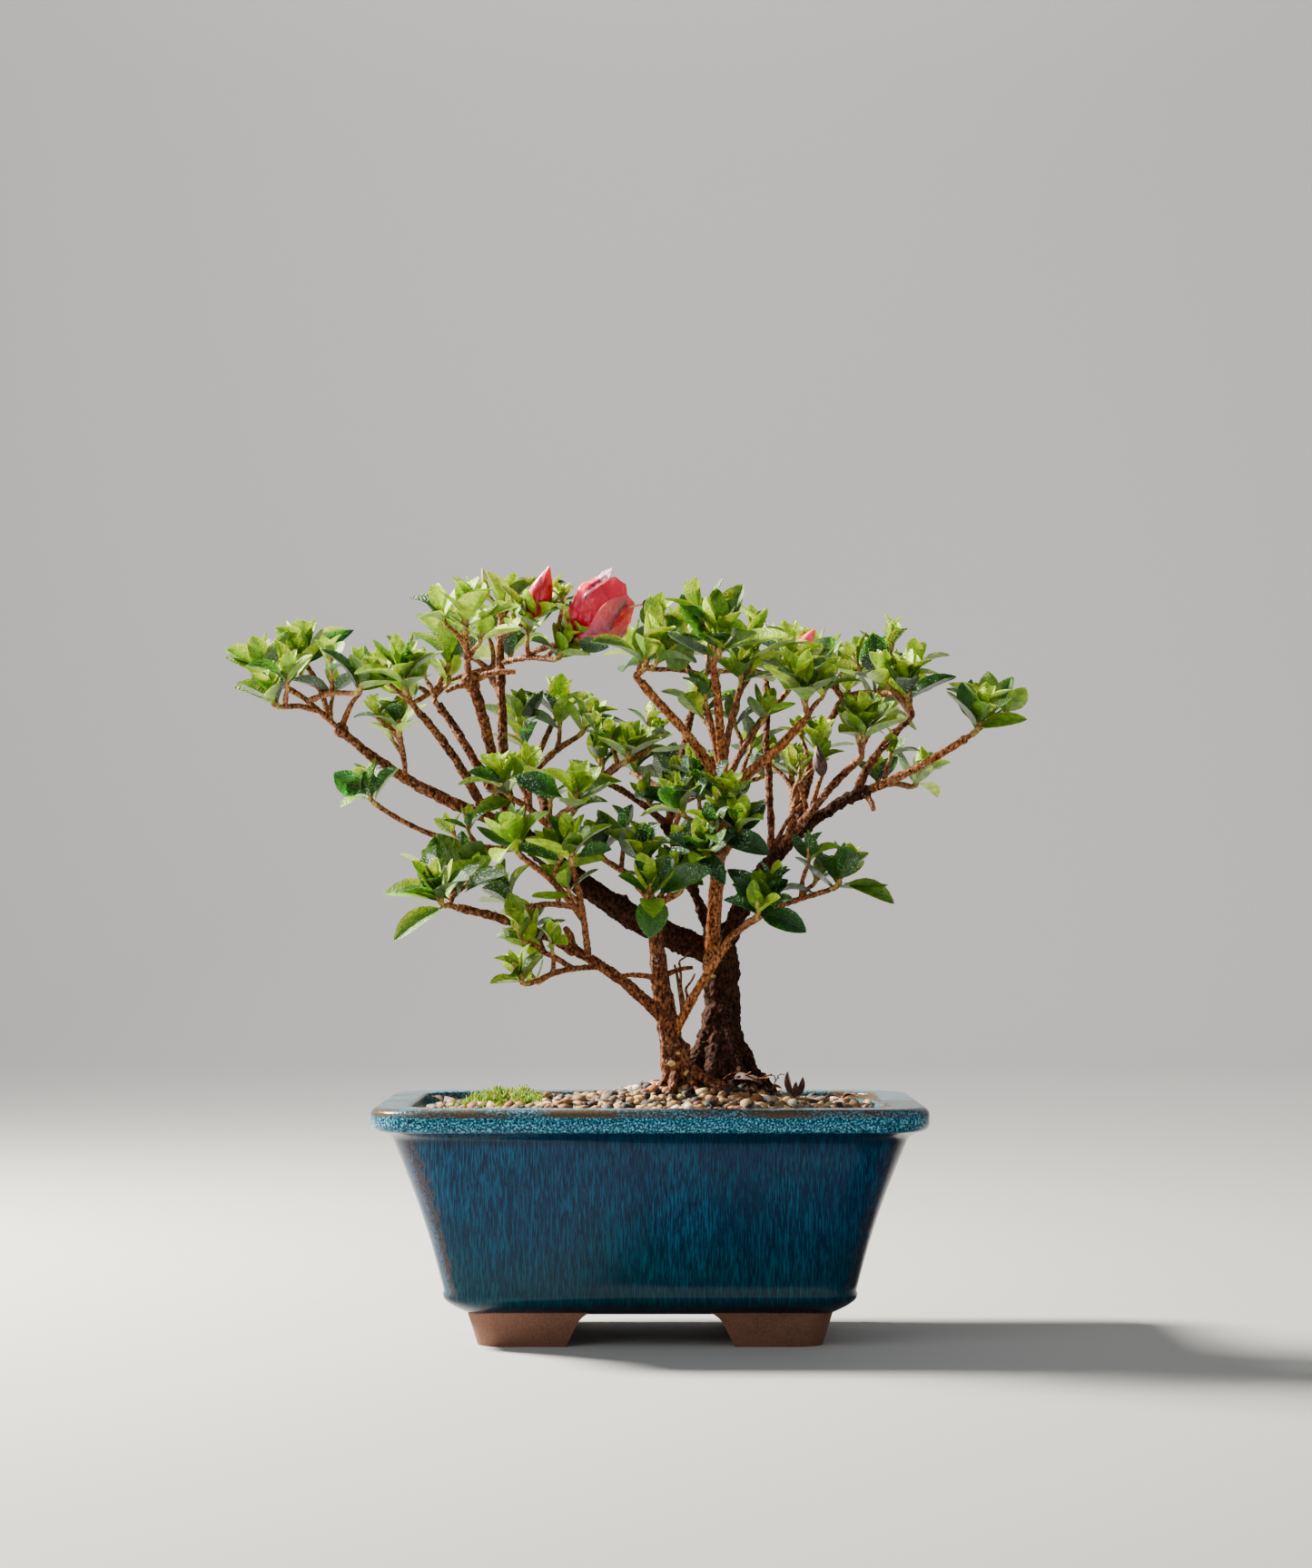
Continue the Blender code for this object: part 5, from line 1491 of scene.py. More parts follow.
def shape_layer(columns, arch, fold, lower):
    """A grid resized to the outline row by row, arched, and folded along its midrib."""
    across, rows = len(columns) - 1, len(OUTLINE) - 1
    edit(add(bpy.ops.mesh.primitive_grid_add, x_subdivisions=across, y_subdivisions=rows, size=2))
    for number, column in enumerate(columns):
        at_x = -1 + 2 * number / across
        pick("VERT", lambda at, vert: abs(at.x - at_x) < 0.01 and at.z < 0.001)
        bpy.ops.transform.translate(value=(column - at_x, 0, ASIDE))
    bpy.ops.mesh.select_all(action="SELECT")
    bpy.ops.transform.translate(value=(0, 0, -ASIDE))
    for column in columns:
        if abs(column) > 0.1:
            pick("VERT", lambda at, vert: abs(at.x - column) < 0.01)
            bpy.ops.transform.translate(value=(0, 0, fold * abs(column) ** 1.2))
    for number, (share, width) in reversed(list(enumerate(OUTLINE))):
        at_y = -1 + 2 * number / rows
        pick("VERT", lambda at, vert: abs(at.y - at_y) < 0.01)
        bpy.ops.transform.resize(value=(width * LEAF_SHAPE / 2, 1, max(width, 0.05)), center_override=(0, at_y, 0))
        lift = arch * math.sin(share * math.pi) - 0.35 * arch * share
        bpy.ops.transform.translate(value=(0, share - at_y + AWAY, lift))
    bpy.ops.mesh.select_all(action="SELECT")
    bpy.ops.transform.translate(value=(0, -AWAY, 0))
    if lower:
        pick("VERT", lambda at, vert: abs(at.x) < 0.001 and 0.05 < at.y < 0.95)
        bpy.ops.transform.translate(value=(0, 0, -BLADE_THICK))
        bpy.ops.mesh.select_all(action="SELECT")
        bpy.ops.mesh.flip_normals()
    return leave_edit()


def leaf_template(name, arch, fold):
    """A closed leaf, one unit long, with material slots for the top, the underside, the midrib and the tip."""
    upper = shape_layer(COLUMNS, arch, fold, False)
    lower = shape_layer(UNDER_COLUMNS, arch, fold, True)
    for layer, (blade, rib) in ((upper, (0, 2)), (lower, (1, 1))):
        for face in layer.data.polygons:
            centre = sum((layer.data.vertices[i].co for i in face.vertices), Vector()) / len(face.vertices)
            face.material_index = 3 if centre.y > TIP_FROM else rib if abs(centre.x) < 0.012 else blade
    leaf = join([upper, lower], name)
    edit(leaf)
    bpy.ops.mesh.select_all(action="SELECT")
    bpy.ops.mesh.remove_doubles(threshold=0.0015)
    for end in (0.0, 1.0):
        pick("VERT", lambda at, vert: abs(at.y - end) < 0.001)
        bpy.ops.mesh.merge(type="CENTER")
    print(name, "has", len(leaf.data.polygons), "faces")
    return template_of(leave_edit(), name)


# Arch and fold of each form.
LEAF_FORMS = ((0.05, 0.05), (0.10, 0.08), (-0.05, 0.04), (0.14, 0.11), (0.02, 0.14))
leaf_shapes = [leaf_template(f"leaf_{k}", arch, fold) for k, (arch, fold) in enumerate(LEAF_FORMS)]

# %% [markdown]
# Leaves stand round a shoot by the golden angle: long and low outside, short and upright inside. Every leaf is
# given a tone by its spray, its height and chance. Part of it is painted light: leaves higher up and in some sprays
# are painted yellow green, as if in the light, and lower ones deep green, as painted shade, while the youngest leaves
# in the heart are the palest. A leaf that would run into wood or hide the flower gets another try, and is left out
# after four.

# %% Tones of the leaves
# The colours of a tone's upper and lower faces. The paler lower colours are partly painted light, for light that comes
# through the leaf.
TONES = {
    "deep": ((0.005, 0.033, 0.003), (0.085, 0.135, 0.006)),
    "green": ((0.016, 0.076, 0.004), (0.190, 0.245, 0.006)),
    "olive": ((0.050, 0.130, 0.004), (0.330, 0.375, 0.006)),
    "fresh": ((0.140, 0.295, 0.005), (0.540, 0.615, 0.010)),
    "lime": ((0.36, 0.58, 0.010), (0.70, 0.82, 0.025)),
}
TIP_RED = (0.17, 0.045, 0.02)
# Painted glints: pale specks on the tops of the two darkest tones.
PAINTED_GLINTS = (0.24, 0.40, 0.27)
# How light a leaf is, from 0 to 1: at one height, for a rise of so many millimetres, in the heart, and by chance. The
# rise with height is painted light.
LIGHT = 0.41
PAINTED_LIGHT_HEIGHT = 175
PAINTED_LIGHT_RISE = 250
HEART_LIGHT = 0.34
LIGHT_SPREAD = 0.25
# Painted light and shade: sprays painted paler, or with a minus darker, than their height makes them.
PAINTED_LIGHT_SPRAYS = {
    "leaves_low_under": 0.5, "leaves_elbow": 0.3, "leaves_low_upper": 0.25, "leaves_left_small": 0.15,
    "leaves_low_left": 0.12, "leaves_low_far": -0.1,
}


def tone_of(shoot, height, rank, rng):
    """Which tone a leaf has, from its spray, its height in the crown and its rank from the outside of its rosette.
    Spray and height paint light and shade into it.
    """
    light = LIGHT + (height - PAINTED_LIGHT_HEIGHT) / PAINTED_LIGHT_RISE + HEART_LIGHT * rank * rank + rng.gauss(0, LIGHT_SPREAD)
    light += PAINTED_LIGHT_SPRAYS.get(shoot.mass, 0.0)
    return list(TONES)[min(4, max(0, int(light * 5)))]


# %% Room for a leaf
FLOWER_AT = (-13.5, 249.0)
FLOWER_REACH = 10.5
HIDING_SHARES = (0.5, 0.8, 1.0)
TOUCHING_SHARES = (0.35, 0.6, 0.9)
LEAF_CLEARANCE = 0.6
WOOD_BOX = 9.0


def box_of(at):
    return tuple(int(v // WOOD_BOX) for v in at)


wood_boxes = defaultdict(list)
for name, path in paths.items():
    for point, radius in zip(*finer(path, girth[name], 2.0)):
        wood_boxes[box_of(point)].append((point, radius))


def in_wood(at):
    """Whether a limb in this box of space, or in one of those around it, comes too near."""
    x, y, z = box_of(at)
    for dx, dy, dz in product((-1, 0, 1), repeat=3):
        for point, radius in wood_boxes.get((x + dx, y + dy, z + dz), ()):
            if (point - at).length < LEAF_CLEARANCE + radius:
                return True
    return False


low_corner, high_corner = [Vector(corner) / MM - POT_MIDDLE / MM for corner in cad_box]


def outside(at, margin=0.3):
    """Whether a place lies outside the solids' box."""
    return any(not low + margin < v < high - margin for v, low, high in zip(at, low_corner, high_corner))


def before_flower(at):
    """Whether a place lies in front of the open flower."""
    return at.y < 10 and math.hypot(at.x - FLOWER_AT[0], at.z - FLOWER_AT[1]) < FLOWER_REACH


def misplaced(root, ahead, size):
    """Whether a leaf would hide the flower, run into wood or reach out of the crown."""
    return (any(before_flower(root + ahead * (size * share)) for share in HIDING_SHARES)
            or any(in_wood(root + ahead * (size * share)) for share in TOUCHING_SHARES)
            or outside(root + ahead * size))


# %% Rosettes
OUTER_SPLAY = 74.0
INNER_SPLAY = 18.0
SPLAY_SPREAD = 12.0
TURN_SPREAD = 0.25
INNER_SHORTER = 0.40
LEAF_LIFT = 0.16
LEAF_TRIES = 4
FACING_SPREAD = 0.16

rng = random.Random("leaves")
leaves = {tone: [] for tone in TONES}
hearts = []
for shoot in shoots:
    side = shoot.axis.orthogonal().normalized()
    across = shoot.axis.cross(side)
    turn = rng.uniform(0, math.tau)
    count = shoot.leaves - 3 if shoot.bloom else shoot.leaves
    for k in range(count):
        share = k / (shoot.leaves - 1)
        for _ in range(LEAF_TRIES):
            angle = turn + GOLDEN_ANGLE * k + rng.uniform(-TURN_SPREAD, TURN_SPREAD)
            splay = math.radians(OUTER_SPLAY + (INNER_SPLAY - OUTER_SPLAY) * share
                                 + rng.uniform(-SPLAY_SPREAD, SPLAY_SPREAD))
            radial = side * math.cos(angle) + across * math.sin(angle)
            ahead = shoot.axis * math.cos(splay) + radial * math.sin(splay)
            ahead = (ahead + UP * LEAF_LIFT).normalized()
            size = shoot.leaf * (1 - INNER_SHORTER * share) * rng.uniform(0.88, 1.06)
            root = shoot.tip + shoot.axis * (HEART_LENGTH * shoot.heart * (0.05 + 0.8 * share)) - ahead * 0.4
            if not misplaced(root, ahead, size):
                break
        else:
            continue
        facing = (shoot.axis - ahead * shoot.axis.dot(ahead)).normalized()
        facing += Vector((rng.gauss(0, FACING_SPREAD), rng.gauss(0, FACING_SPREAD), 0))
        shape = rng.choice(leaf_shapes)
        scale = Vector((size * rng.uniform(0.9, 1.12), size, size)) * MM
        tone = tone_of(shoot, root.z, share, rng)
        leaves[tone].append((shape, stood(place(*root), ahead, facing.normalized(), scale)))
    if not shoot.bloom:
        hearts.append(shoot)
print("leaves in rosettes:", {tone: len(group) for tone, group in leaves.items()})

# %% [markdown]
# The leaves that the eye picks out are set one by one: large ones in front of the stems, the outermost on each side,
# and dark ones that mirror the window. Each starts at a shoot's end. A few brown leaves have fallen on the gravel.

# %% Single leaves
# Root, tip, width in millimetres, the way the upper face looks, and the tone. LIT faces mirror the window.
LIT = (-0.62, -0.60, 0.50)
SINGLES = (
    ((1.4, -43, 149.5), (0.1, -50, 137.3), 11.0, (0, -1, 0.4), "green"),
    ((2.7, -43, 149.6), (17.9, -50, 156.7), 10.0, (0, -0.8, 0.6), "green"),
    ((22.6, -38, 168.0), (37.1, -46, 163.7), 10.0, (0.1, -0.8, 0.6), "deep"),
    ((15.7, -38, 163.2), (23.4, -46, 154.4), 7.0, (0.3, -1, 0.3), "deep"),
    ((35.9, -42, 143.4), (28.7, -46, 153.9), 7.0, (0.2, -1, 0.3), "deep"),
    ((35.9, -42, 143.0), (49.3, -48, 138.2), 9.0, (0.1, -0.9, 0.5), "deep"),
    ((36.7, -42, 146.9), (43.4, -48, 147.5), 6.0, (0, -0.8, 0.5), "deep"),
    ((-29.2, -34, 182.0), (-42.6, -38, 187.8), 8.5, (-0.1, -0.9, 0.4), "deep"),
    ((-47.0, -14, 181.4), (-57.7, -20, 177.9), 6.0, (0, -0.9, 0.5), "olive"),
    ((-48.7, -14, 187.0), (-59.6, -20, 190.6), 6.0, (0, -0.8, 0.6), "green"),
    ((-29.0, -44, 160.3), (-42.7, -48, 164.8), 6.5, (0, -0.8, 0.6), "green"),
    ((-68.6, -29.6, 145.6), (-83.0, -36, 136.0), 8.0, (-0.2, -0.8, 0.6), "olive"),
    ((-62.0, -30, 150.3), (-49.4, -40, 156.1), 7.0, (0, -0.8, 0.6), "green"),
    ((-24.3, -44, 161.9), (-14.3, -50, 164.2), 6.5, (0, -0.8, 0.6), "green"),
    ((13.3, -33, 188.8), (12.4, -37, 195.3), 6.5, LIT, "deep"),
    ((15.1, -33, 182.2), (8.7, -38, 184.4), 6.5, LIT, "deep"),
    ((15.7, -33, 181.5), (18.7, -38, 187.1), 6.5, LIT, "green"),
    ((22.4, -33, 187.6), (25.4, -37, 193.2), 6.0, LIT, "deep"),
    ((-66.5, -30, 147.5), (-73.5, -37, 157.5), 8.0, LIT, "deep"),
    ((-64.5, -30, 148.5), (-58.0, -38, 158.0), 7.5, LIT, "green"),
    ((-2.0, -28, 160.5), (-8.5, -35, 169.5), 7.0, LIT, "deep"),
    ((10.0, -26, 152.0), (4.5, -36, 158.0), 6.0, LIT, "deep"),
    ((5.4, -26, 225.5), (13.5, -34, 232.5), 9.0, (0.3, -0.9, 0.3), "olive"),
    ((-24.4, -24, 234.2), (-15.4, -31, 232.6), 5.5, (0.3, -0.9, -0.1), "deep"),
    ((-130.7, 4, 224.9), (-144.0, 4, 230.8), 6.5, (0.1, -0.8, 0.6), "olive"),
    ((-126.0, -6, 214.5), (-139.0, -8, 221.0), 7.0, (0.1, -0.8, 0.6), "fresh"),
    ((-118.5, 12, 229.5), (-104.5, 6, 239.5), 5.5, (0.3, -0.9, 0.5), "deep"),
    ((64.2, -30, 153.4), (79.0, -34, 147.8), 8.0, (0.1, -0.7, 0.7), "olive"),
    ((-43.5, -14, 141.0), (-47.0, -18, 149.0), 7.5, (-0.2, -0.9, 0.3), "fresh"),
    ((-36.0, -24, 128.0), (-43.0, -26, 134.5), 6.0, (0.1, -0.9, 0.4), "lime"),
    ((-98.0, -8, 184.0), (-106.0, -12, 190.0), 8.5, LIT, "deep"),
    ((-94.0, -8, 184.0), (-87.0, -13, 191.5), 7.0, LIT, "green"),
    ((-96.5, -8, 183.5), (-97.0, -15, 190.5), 7.0, LIT, "deep"),
    ((-98, -8, 182.5), (-104.0, -12, 180.0), 6.0, LIT, "fresh"),
)
# Both are numbers of LEAF_FORMS.
SINGLE_FORM = 1
FALLEN_FORM = 3
SINGLES_LONGER = 1.16


def laid_leaf(form, root, tip, width, facing, longer=1.0):
    """A copy of a leaf from its root to its tip, which may be drawn out past it."""
    run = (Vector(tip) - Vector(root)) * longer
    scale = Vector((width / LEAF_SHAPE, run.length, run.length)) * MM
    return leaf_shapes[form], stood(place(*root), run.normalized(), Vector(facing), scale)


for root, tip, width, facing, tone in SINGLES:
    leaves[tone].append(laid_leaf(SINGLE_FORM, root, tip, width, facing, SINGLES_LONGER))
print("single leaves:", len(SINGLES))

# %% Fallen leaves and dry buds
# Root, tip, width in millimetres and the way the upper face looks.
LITTER = (
    ((30, -12, 86.8), (38, -15, 86.0), 3.4, (0, -0.5, 1)), ((27, -9, 86.5), (34.0, -14, 87.5), 3.6, (0.3, -0.7, 0.6)),
    ((48.6, -10, 81), (46.3, -11, 90.0), 2.6, (-0.5, -1, 0)), ((48.8, -10, 81), (51.8, -11, 88.0), 2.6, (0.5, -1, 0)),
    ((48.7, -10, 81), (49.3, -13, 86.5), 2.2, (0, -1, 0.2)), ((58, -20, 80.5), (64, -24, 82.0), 3.0, (0, 0, 1)),
    ((-70, -12, 79), (-74, -8, 81.5), 3.0, (0.3, -0.4, 1)), ((38, 30, 81), (46, 34, 82.5), 4.0, (0, 0, 1)),
    ((66, 10, 79.5), (71, 4, 81.0), 3.5, (0, 0, 1)),
)
litter = [laid_leaf(FALLEN_FORM, *row) for row in LITTER]
dry_leaf = Finish("dry_leaf", Roughness=0.7)
dry_leaf.mottle(0.6, 3.0, 0.35, 0.7, (0.030, 0.010, 0.006), (0.125, 0.048, 0.024))
hand_over(scatter("fallen_leaves", litter, [dry_leaf] * 4), "foliage")

# %% [markdown]
# A leaf shines on top and is matt and paler below; the paleness below is partly its own colour and partly painted
# light for the light that comes through it. The two darkest tones also get pale specks, painted glints for the many
# small glints of a leathery leaf. The midrib and the tip have colours of their own.

# %% Finishes of the leaves


def leaf_finish(tone, top, under):
    """Top, underside, midrib and tip: glossy, matt, pale and reddish."""
    upper = Finish(tone + "_leaf_top", Roughness=0.45, Specular_IOR_Level=0.15, Coat_Weight=0.5,
                   Coat_Roughness=0.18, Subsurface_Weight=0.12, Subsurface_Radius=(0.8, 1.0, 0.3),
                   Subsurface_Scale=0.0015)
    green = upper.mix(upper.ramp(upper.noise(0.45, 3.0), 0.3, 0.75), dimmed(top, 0.65), dimmed(top, 1.35))
    if tone in ("deep", "green"):
        # Painted glints on the darkest tones.
        painted_glint_mask = upper.times(upper.ramp(upper.noise(1.7, 3.0), 0.56, 0.63),
                              upper.ramp(upper.noise(0.09, 2.0), 0.50, 0.58))
        green = upper.mix(painted_glint_mask, green, PAINTED_GLINTS)
    upper.colour(green)
    upper.bump(upper.noise(1.5, 2.0), 0.7, 1.0, coat=True)
    lower = Finish(tone + "_leaf_under", Roughness=0.6, Specular_IOR_Level=0.1, Subsurface_Weight=0.6,
                   Subsurface_Radius=(0.8, 1.0, 0.25), Subsurface_Scale=0.0015)
    # The paler underside is partly painted light, for light through the leaf.
    lower.bump(lower.mottle(1.1, 3.0, 0.4, 0.7, under, dimmed(under, 0.72)), 0.2, 0.6)
    rib_colour = tuple(a * 0.35 + b * 0.85 for a, b in zip(top, under))
    tip_colour = tuple(a * 0.7 + b * 0.15 for a, b in zip(TIP_RED, under))
    return (upper, lower, Finish(tone + "_midrib", rib_colour, Roughness=0.5),
            Finish(tone + "_leaf_tip", tip_colour, Roughness=0.5))


mass_names = [name for name, *_ in MASSES]
for tone, (top, under) in TONES.items():
    piece = scatter("leaves_" + tone, leaves[tone], leaf_finish(tone, top, under))
    only(piece)
    bpy.ops.object.shade_smooth_by_angle(angle=math.radians(55))
    hand_over(piece, "foliage", *mass_names)
print("leaves:", sum(len(group) for group in leaves.values()))

# %% [markdown]
# ## Buds and the flower
# Every shoot that doesn't flower ends in a small pointed leaf bud. A flower bud is larger, and its five rolled petals
# leave furrows that wind round it. Both start as a circle that is extruded ring by ring. The furrows are pulled in
# first, and the rings are then turned one after the other.

# %% Bud templates
# Height and radius of each ring, as shares of the whole.
LEAF_BUD = ((0.0, 0.6), (0.25, 1.0), (0.55, 0.8), (0.8, 0.42), (1.0, 0.05))
FLOWER_BUD = ((0.0, 0.3), (0.08, 0.55), (0.2, 0.86), (0.36, 1.0), (0.52, 0.93), (0.68, 0.7), (0.82, 0.42),
              (0.93, 0.18), (1.0, 0.04))


def turned_bud(name, profile, sides, furrow_every, twist):
    """A pointed bud one unit long and one unit in radius, with furrows that wind round it."""
    edit(add(bpy.ops.mesh.primitive_circle_add, vertices=sides, radius=profile[0][1], fill_type="NGON"))
    bpy.ops.mesh.select_mode(type="FACE")
    bpy.ops.mesh.select_all(action="SELECT")
    for (low, inner), (high, outer) in zip(profile, profile[1:]):
        bpy.ops.mesh.extrude_region_move(TRANSFORM_OT_translate={"value": (0, 0, high - low)})
        bpy.ops.transform.resize(value=(outer / inner, outer / inner, 1), center_override=(0, 0, high))
    bpy.ops.mesh.select_all(action="SELECT")
    bpy.ops.mesh.normals_make_consistent(inside=False)
    if furrow_every:
        step = math.tau / sides
        pick("VERT", lambda at, vert: round(math.atan2(at.y, at.x) / step) % furrow_every == 0 and 0.05 < at.z < 0.97)
        bpy.ops.transform.resize(value=(0.84, 0.84, 1), center_override=(0, 0, 0))
    for high, _ in profile[1:]:
        pick("VERT", lambda at, vert: at.z > high - 0.01)
        bpy.ops.transform.rotate(value=twist, orient_axis="Z", center_override=(0, 0, 0))
    return template_of(leave_edit(), name)


def bud_matrix(at, axis, length, radius):
    """Puts a bud's template at a place in millimetres, along an axis and at its size."""
    size = Matrix.Diagonal((radius * MM, radius * MM, length * MM, 1))
    return Matrix.Translation(place(*at)) @ turned_to(axis) @ size


def grown(template, name, at, axis, length, radius, finish):
    """One bud of its own mesh, rounded by a subdivision."""
    bud = bpy.data.objects.new(name, template.data.copy())
    bpy.context.scene.collection.objects.link(bud)
    bud.data.transform(bud_matrix(at, axis, length, radius))
    modify(bud, "SUBSURF", levels=2, render_levels=2)
    bpy.ops.object.shade_smooth()
    wear(bud, finish)
    return bud


leaf_bud = turned_bud("leaf_bud", LEAF_BUD, 6, 0, 0.0)
flower_bud = turned_bud("rolled_bud", FLOWER_BUD, 20, 4, math.radians(16))

# %% Leaf buds
BUD_LENGTH = (4.6, 7.2)
BUD_RADIUS = 0.2
BUDLESS_SHARE = 0.25
BUD_TONES = {"straw": (0.58, 0.50, 0.10), "tan": (0.50, 0.27, 0.09)}

rng = random.Random("leaf buds")
buds = {tone: [] for tone in BUD_TONES}
for shoot in hearts:
    if rng.random() < BUDLESS_SHARE:
        continue
    length = rng.uniform(*BUD_LENGTH) * (0.5 + 0.5 * shoot.heart)
    base = shoot.tip + shoot.axis * (HEART_LENGTH * shoot.heart * 0.75)
    matrix = bud_matrix(base, shoot.axis, length, length * BUD_RADIUS)
    buds[rng.choice(("straw", "straw", "tan"))].append((leaf_bud, matrix))
for tone, colour in BUD_TONES.items():
    finish = Finish("leaf_bud_" + tone, Roughness=0.45, Coat_Weight=0.3)
    finish.mottle(0.9, 2.0, 0.35, 0.7, colour, dimmed(colour, 0.6))
    hand_over(scatter("leaf_buds_" + tone, buds[tone], [finish]), "foliage")

# %% [markdown]
# Petals are thin and full of light, so the light spreads inside them, and pale streaks, partly veins and partly
# painted highlights, pale them a little. The seed capsule and the resting bud reuse the rolled bud's shape, each with
# a finish of two browns.

# %% Flower buds, seed capsule and resting bud
# Length, radius, and the colours that the petals wander between.
FLOWER_BUDS = {
    "bud": (20.0, 4.6, (0.36, 0.0, 0.008), (0.66, 0.006, 0.035)),
    "small_bud": (15.5, 3.7, (0.72, 0.03, 0.09), (0.85, 0.16, 0.25)),
}


def petal_finish(name, deep, pale, shine, rise=None):
    """A petal lets light through. Its colour wanders, or pales upwards from one height to another. Pale streaks are
    partly veins, partly painted highlights.
    """
    made = Finish(name, Roughness=0.4, Specular_IOR_Level=0.15, Coat_Weight=shine, Coat_Roughness=0.1,
                  Subsurface_Weight=1.0, Subsurface_Scale=0.003)
    share = made.ramp(made.noise(0.35, 3.0), 0.3, 0.75)
    if rise:
        wander = made.times(made.minus(made.noise(0.3, 3.0), 0.5), 9.0)
        height = made.node("SeparateXYZ", {"Vector": made.millimetres()}).outputs["Z"]
        share = made.ramp(made.plus(height, wander), *rise)
    # Pale streaks: partly veins, partly painted highlights.
    veins_and_painted_streaks = made.ramp(made.noise(1.6, 3.0, (1, 1, 0.3)), 0.52, 0.68)
    colour = made.mix(share, deep, pale)
    made.colour(made.mix(made.times(veins_and_painted_streaks, 0.5), colour, tuple(0.06 + c * 0.94 for c in pale)))
    made.bump(made.noise(1.2, 3.0, (1, 1, 0.4)), 0.4, 0.9)
    return made


for shoot in shoots:
    if shoot.bloom in FLOWER_BUDS:
        length, radius, deep, pale = FLOWER_BUDS[shoot.bloom]
        finish = petal_finish(shoot.bloom + "_petals", deep, pale, 0.6)
        at = shoot.tip + shoot.axis * (HEART_LENGTH * 0.4)
        hand_over(grown(flower_bud, "flower_" + shoot.bloom, at, shoot.axis, length, radius, finish), "foliage")
husk = Finish("seed_capsule", Roughness=0.5)
husk.mottle(0.8, 3.0, 0.35, 0.7, (0.035, 0.014, 0.014), (0.13, 0.06, 0.045))
scales = Finish("resting_bud", Roughness=0.45, Coat_Weight=0.3)
scales.mottle(0.5, 2.0, 0.35, 0.7, (0.33, 0.17, 0.04), (0.45, 0.33, 0.08))
# Name, place, axis, length, radius and finish.
for name, at, axis, length, radius, finish in (
    ("seed_capsule", (58.5, -10, 190.0), (-0.2, 0, 1), 10.5, 2.7, husk),
    ("resting_bud", (20.5, -31, 169.5), (0.05, 0, 1), 11.5, 2.5, scales),
):
    hand_over(grown(flower_bud, name, at, Vector(axis).normalized(), length, radius, finish), "foliage")

# %% [markdown]
# The flower has begun to close again. A petal is a grid whose rows are resized and tilted, so that it rises from a
# narrow claw, bulges and bends in at its tip. Clouds ruffle it. Each of the five copies leans out by its own angle
# and meets the clouds at another place, so no two petals are alike. The thin edges have a painted highlight.

# %% Petals
# Reach from the axis, height, width, and slope in degrees of each row.
PETAL_ROWS = (
    (0.6, 0.0, 0.7, 60), (3.4, 1.6, 2.0, 42), (6.4, 4.4, 4.2, 50), (8.6, 8.2, 6.2, 68), (9.2, 12.2, 7.4, 84),
    (8.6, 16.2, 7.6, 98), (7.0, 19.6, 6.2, 112), (5.2, 22.2, 3.8, 100), (4.8, 24.8, 1.9, 75),
)
# Turn round the flower and lean outwards in degrees, length and width.
PETAL_FORMS = (
    (8, 2, 1.05, 0.95), (78, 3, 0.97, 1.25), (128, 12, 0.90, 1.10), (196, 22, 0.78, 0.90), (290, 24, 0.62, 0.8),
)
CORAL_PETALS = (2,)
PETAL_ACROSS = 8
PETAL_CUP = 0.34
PETAL_THICK = 0.3
PALE_ABOVE = 20.6
# Size and depth of each kind of cloud.
RUFFLES = (6.0, 2.6)
FOLDS = (2.4, 1.5)
FLOWER_LEAN = Vector((0.60, 0.12, 0.79)).normalized()


def petal_template():
    """A grid whose columns are cupped and whose rows are resized, tilted and lifted, from the tip down."""
    rows = len(PETAL_ROWS) - 1
    edit(add(bpy.ops.mesh.primitive_grid_add, x_subdivisions=PETAL_ACROSS, y_subdivisions=rows, size=2))
    for number in range(PETAL_ACROSS + 1):
        at_x = -1 + 2 * number / PETAL_ACROSS
        pick("VERT", lambda at, vert: abs(at.x - at_x) < 0.01)
        bpy.ops.transform.translate(value=(0, 0, PETAL_CUP * at_x * at_x))
    for number, (reach, height, width, slope) in reversed(list(enumerate(PETAL_ROWS))):
        at_y = -1 + 2 * number / rows
        pick("VERT", lambda at, vert: abs(at.y - at_y) < 0.01)
        bpy.ops.transform.resize(value=(width, 1, width), center_override=(0, at_y, 0))
        bpy.ops.transform.rotate(value=-math.radians(slope), orient_axis="X", center_override=(0, at_y, 0))
        bpy.ops.transform.translate(value=(0, reach - at_y + 10 * AWAY, height))
    bpy.ops.mesh.select_all(action="SELECT")
    bpy.ops.transform.translate(value=(0, -10 * AWAY, 0))
    return template_of(leave_edit(), "petal")


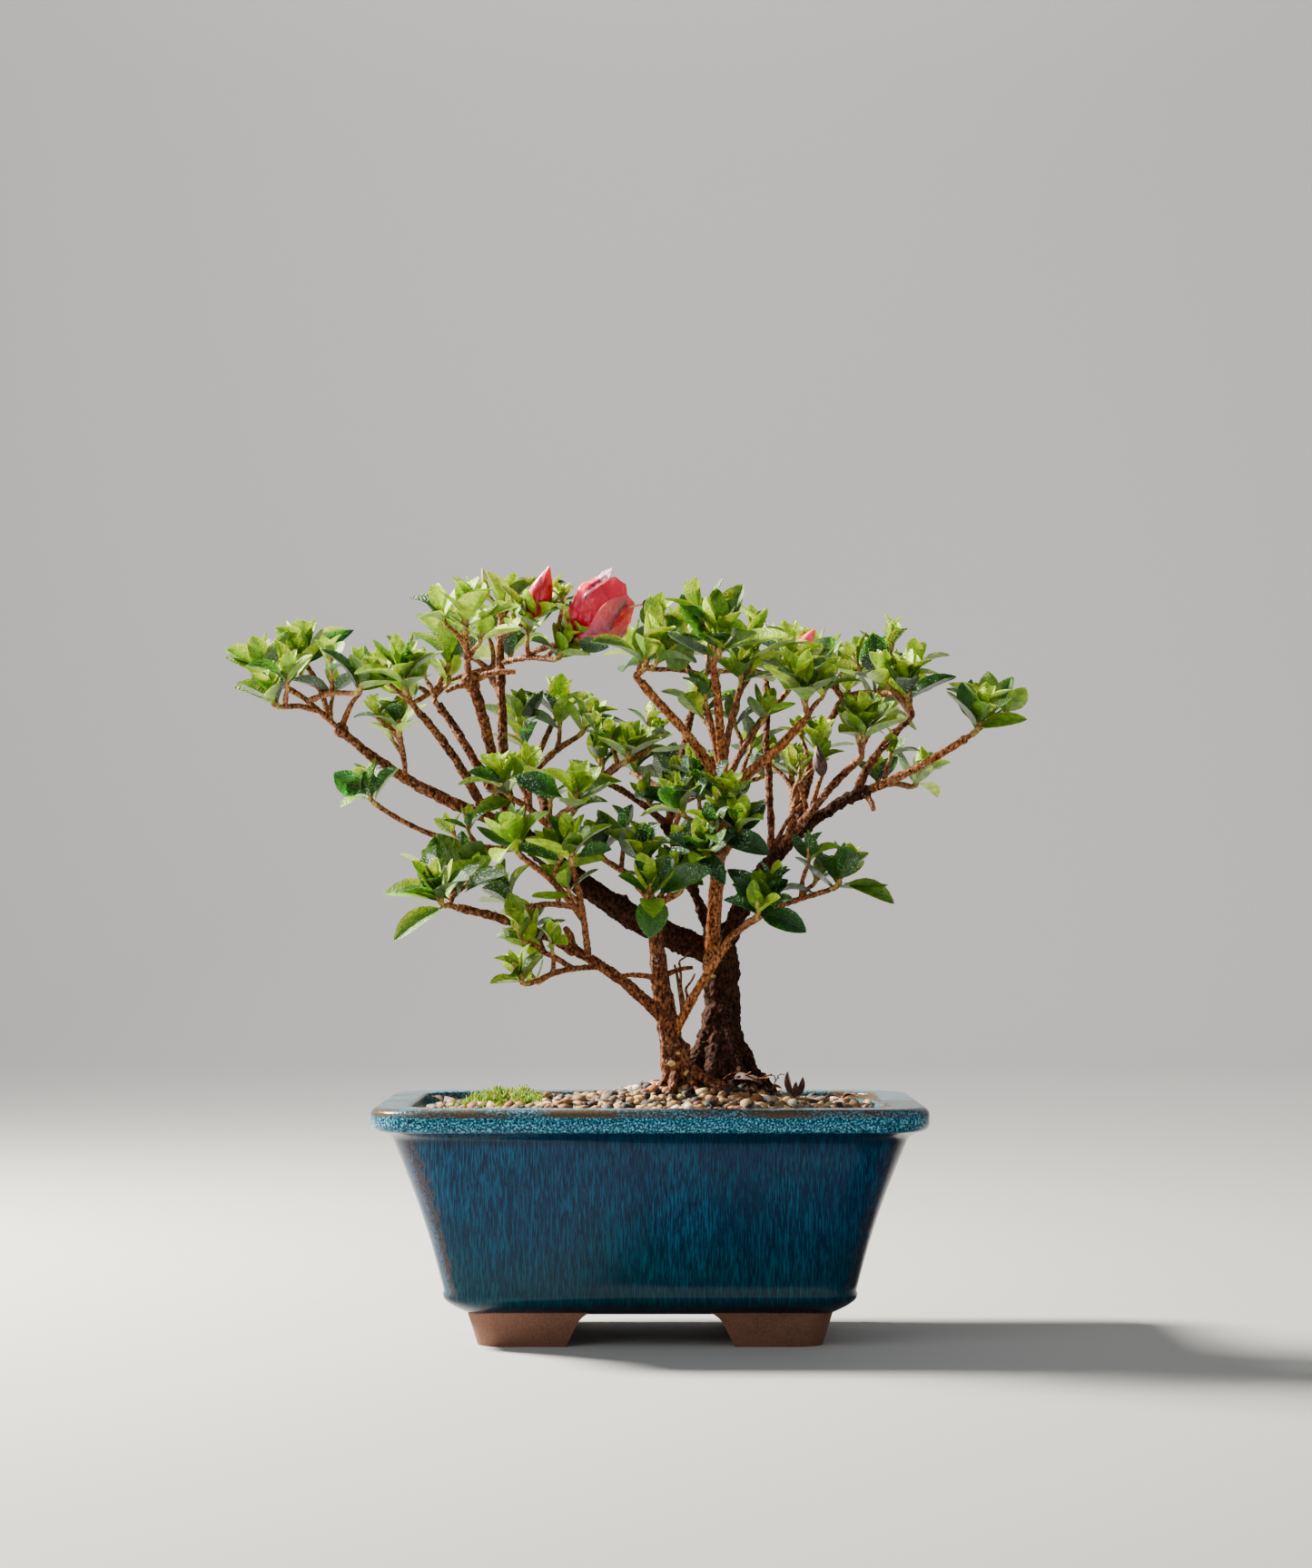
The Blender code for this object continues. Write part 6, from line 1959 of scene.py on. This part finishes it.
petal = petal_template()
flower_shoot = next(shoot for shoot in shoots if shoot.bloom == "flower")
petal_finishes = (
    petal_finish("scarlet_petals", (1.0, 0.0, 0.03), (1.0, 0.025, 0.075), 0.5, (241.0, 256.0)),
    petal_finish("coral_petals", (1.0, 0.065, 0.13), (1.0, 0.13, 0.21), 0.12),
    # The third finish is a painted highlight on the thin edges; it also colours the pale tip of the first petal.
    petal_finish("pale_petal_tip_and_painted_edge", (1.0, 0.26, 0.36), (1.0, 0.42, 0.52), 0.2),
)
petals = []
lean = turned_to(FLOWER_LEAN)
for k, (turn, outward, length, width) in enumerate(PETAL_FORMS):
    one = bpy.data.objects.new(f"petal_{k}", petal.data.copy())
    bpy.context.scene.collection.objects.link(one)
    wear(one, *petal_finishes)
    for face in one.data.polygons:
        face.material_index = 2 if k == 0 and face.center.z > PALE_ABOVE else 1 if k in CORAL_PETALS else 0
    turned = Matrix.Rotation(math.radians(turn), 4, "Z") @ Matrix.Rotation(-math.radians(outward), 4, "X")
    size = Matrix.Diagonal((width * MM, length * MM, length * MM, 1))
    one.data.transform(Matrix.Translation(place(*flower_shoot.tip)) @ lean @ turned @ size)
    modify(one, "SUBSURF", levels=2, render_levels=2)
    for size, depth in (RUFFLES, FOLDS):
        displace(one, size, depth, texture_coords="GLOBAL")
    # The rims take the third finish, a painted highlight along the thin edges.
    modify(one, "SOLIDIFY", thickness=PETAL_THICK * MM, offset=0.0, material_offset_rim=2)
    petals.append(one)
flower = join(petals, "flower_petals")
bpy.ops.object.shade_smooth()
hand_over(flower, "foliage")

# %% [markdown]
# The style hangs far out of the flower, and five stamens stand inside. They are tubes, as the twigs are, and their
# dark tips are small spheres that are drawn out.

# %% Style and stamens
STYLE_TIP = (-1.6, -22.0, 247.6)
STYLE_RADIUS = 0.42
STAMENS = 5
STAMEN_RADIUS = 0.26
STAMEN_HEIGHT = 13.0
STAMEN_REACH = 3.4
STAMEN_TURN = 1.26
TIP_SIZE = 2.6
TIP_SHAPE = (1.0, 0.8, 1.35)

base = flower_shoot.tip + FLOWER_LEAN * 4
ends = [(Vector(STYLE_TIP), STYLE_RADIUS)]
side = FLOWER_LEAN.orthogonal().normalized()
across = FLOWER_LEAN.cross(side)
for k in range(STAMENS):
    out = side * math.cos(k * STAMEN_TURN) + across * math.sin(k * STAMEN_TURN)
    ends.append((base + FLOWER_LEAN * STAMEN_HEIGHT + out * STAMEN_REACH, STAMEN_RADIUS))
threads = []
for end, radius in ends:
    fine, radii = finer(limb_path(base, end, 1.6, 0.5, 4), [radius] * 5, 1.5)
    threads.append(draw_tube(fine, radii, 1))
tips = []
for end, radius in ends:
    tip = add(bpy.ops.mesh.primitive_uv_sphere_add, segments=12, ring_count=8, radius=radius * TIP_SIZE * MM,
              location=place(*end))
    tip.scale = TIP_SHAPE
    tips.append(settle(tip, "anther"))
finish_off(join(threads, "filaments"), Finish("filaments", (0.70, 0.20, 0.17), Roughness=0.4), "foliage")
finish_off(join(tips, "anthers"), Finish("anthers", (0.03, 0.009, 0.012), Roughness=0.45), "foliage")
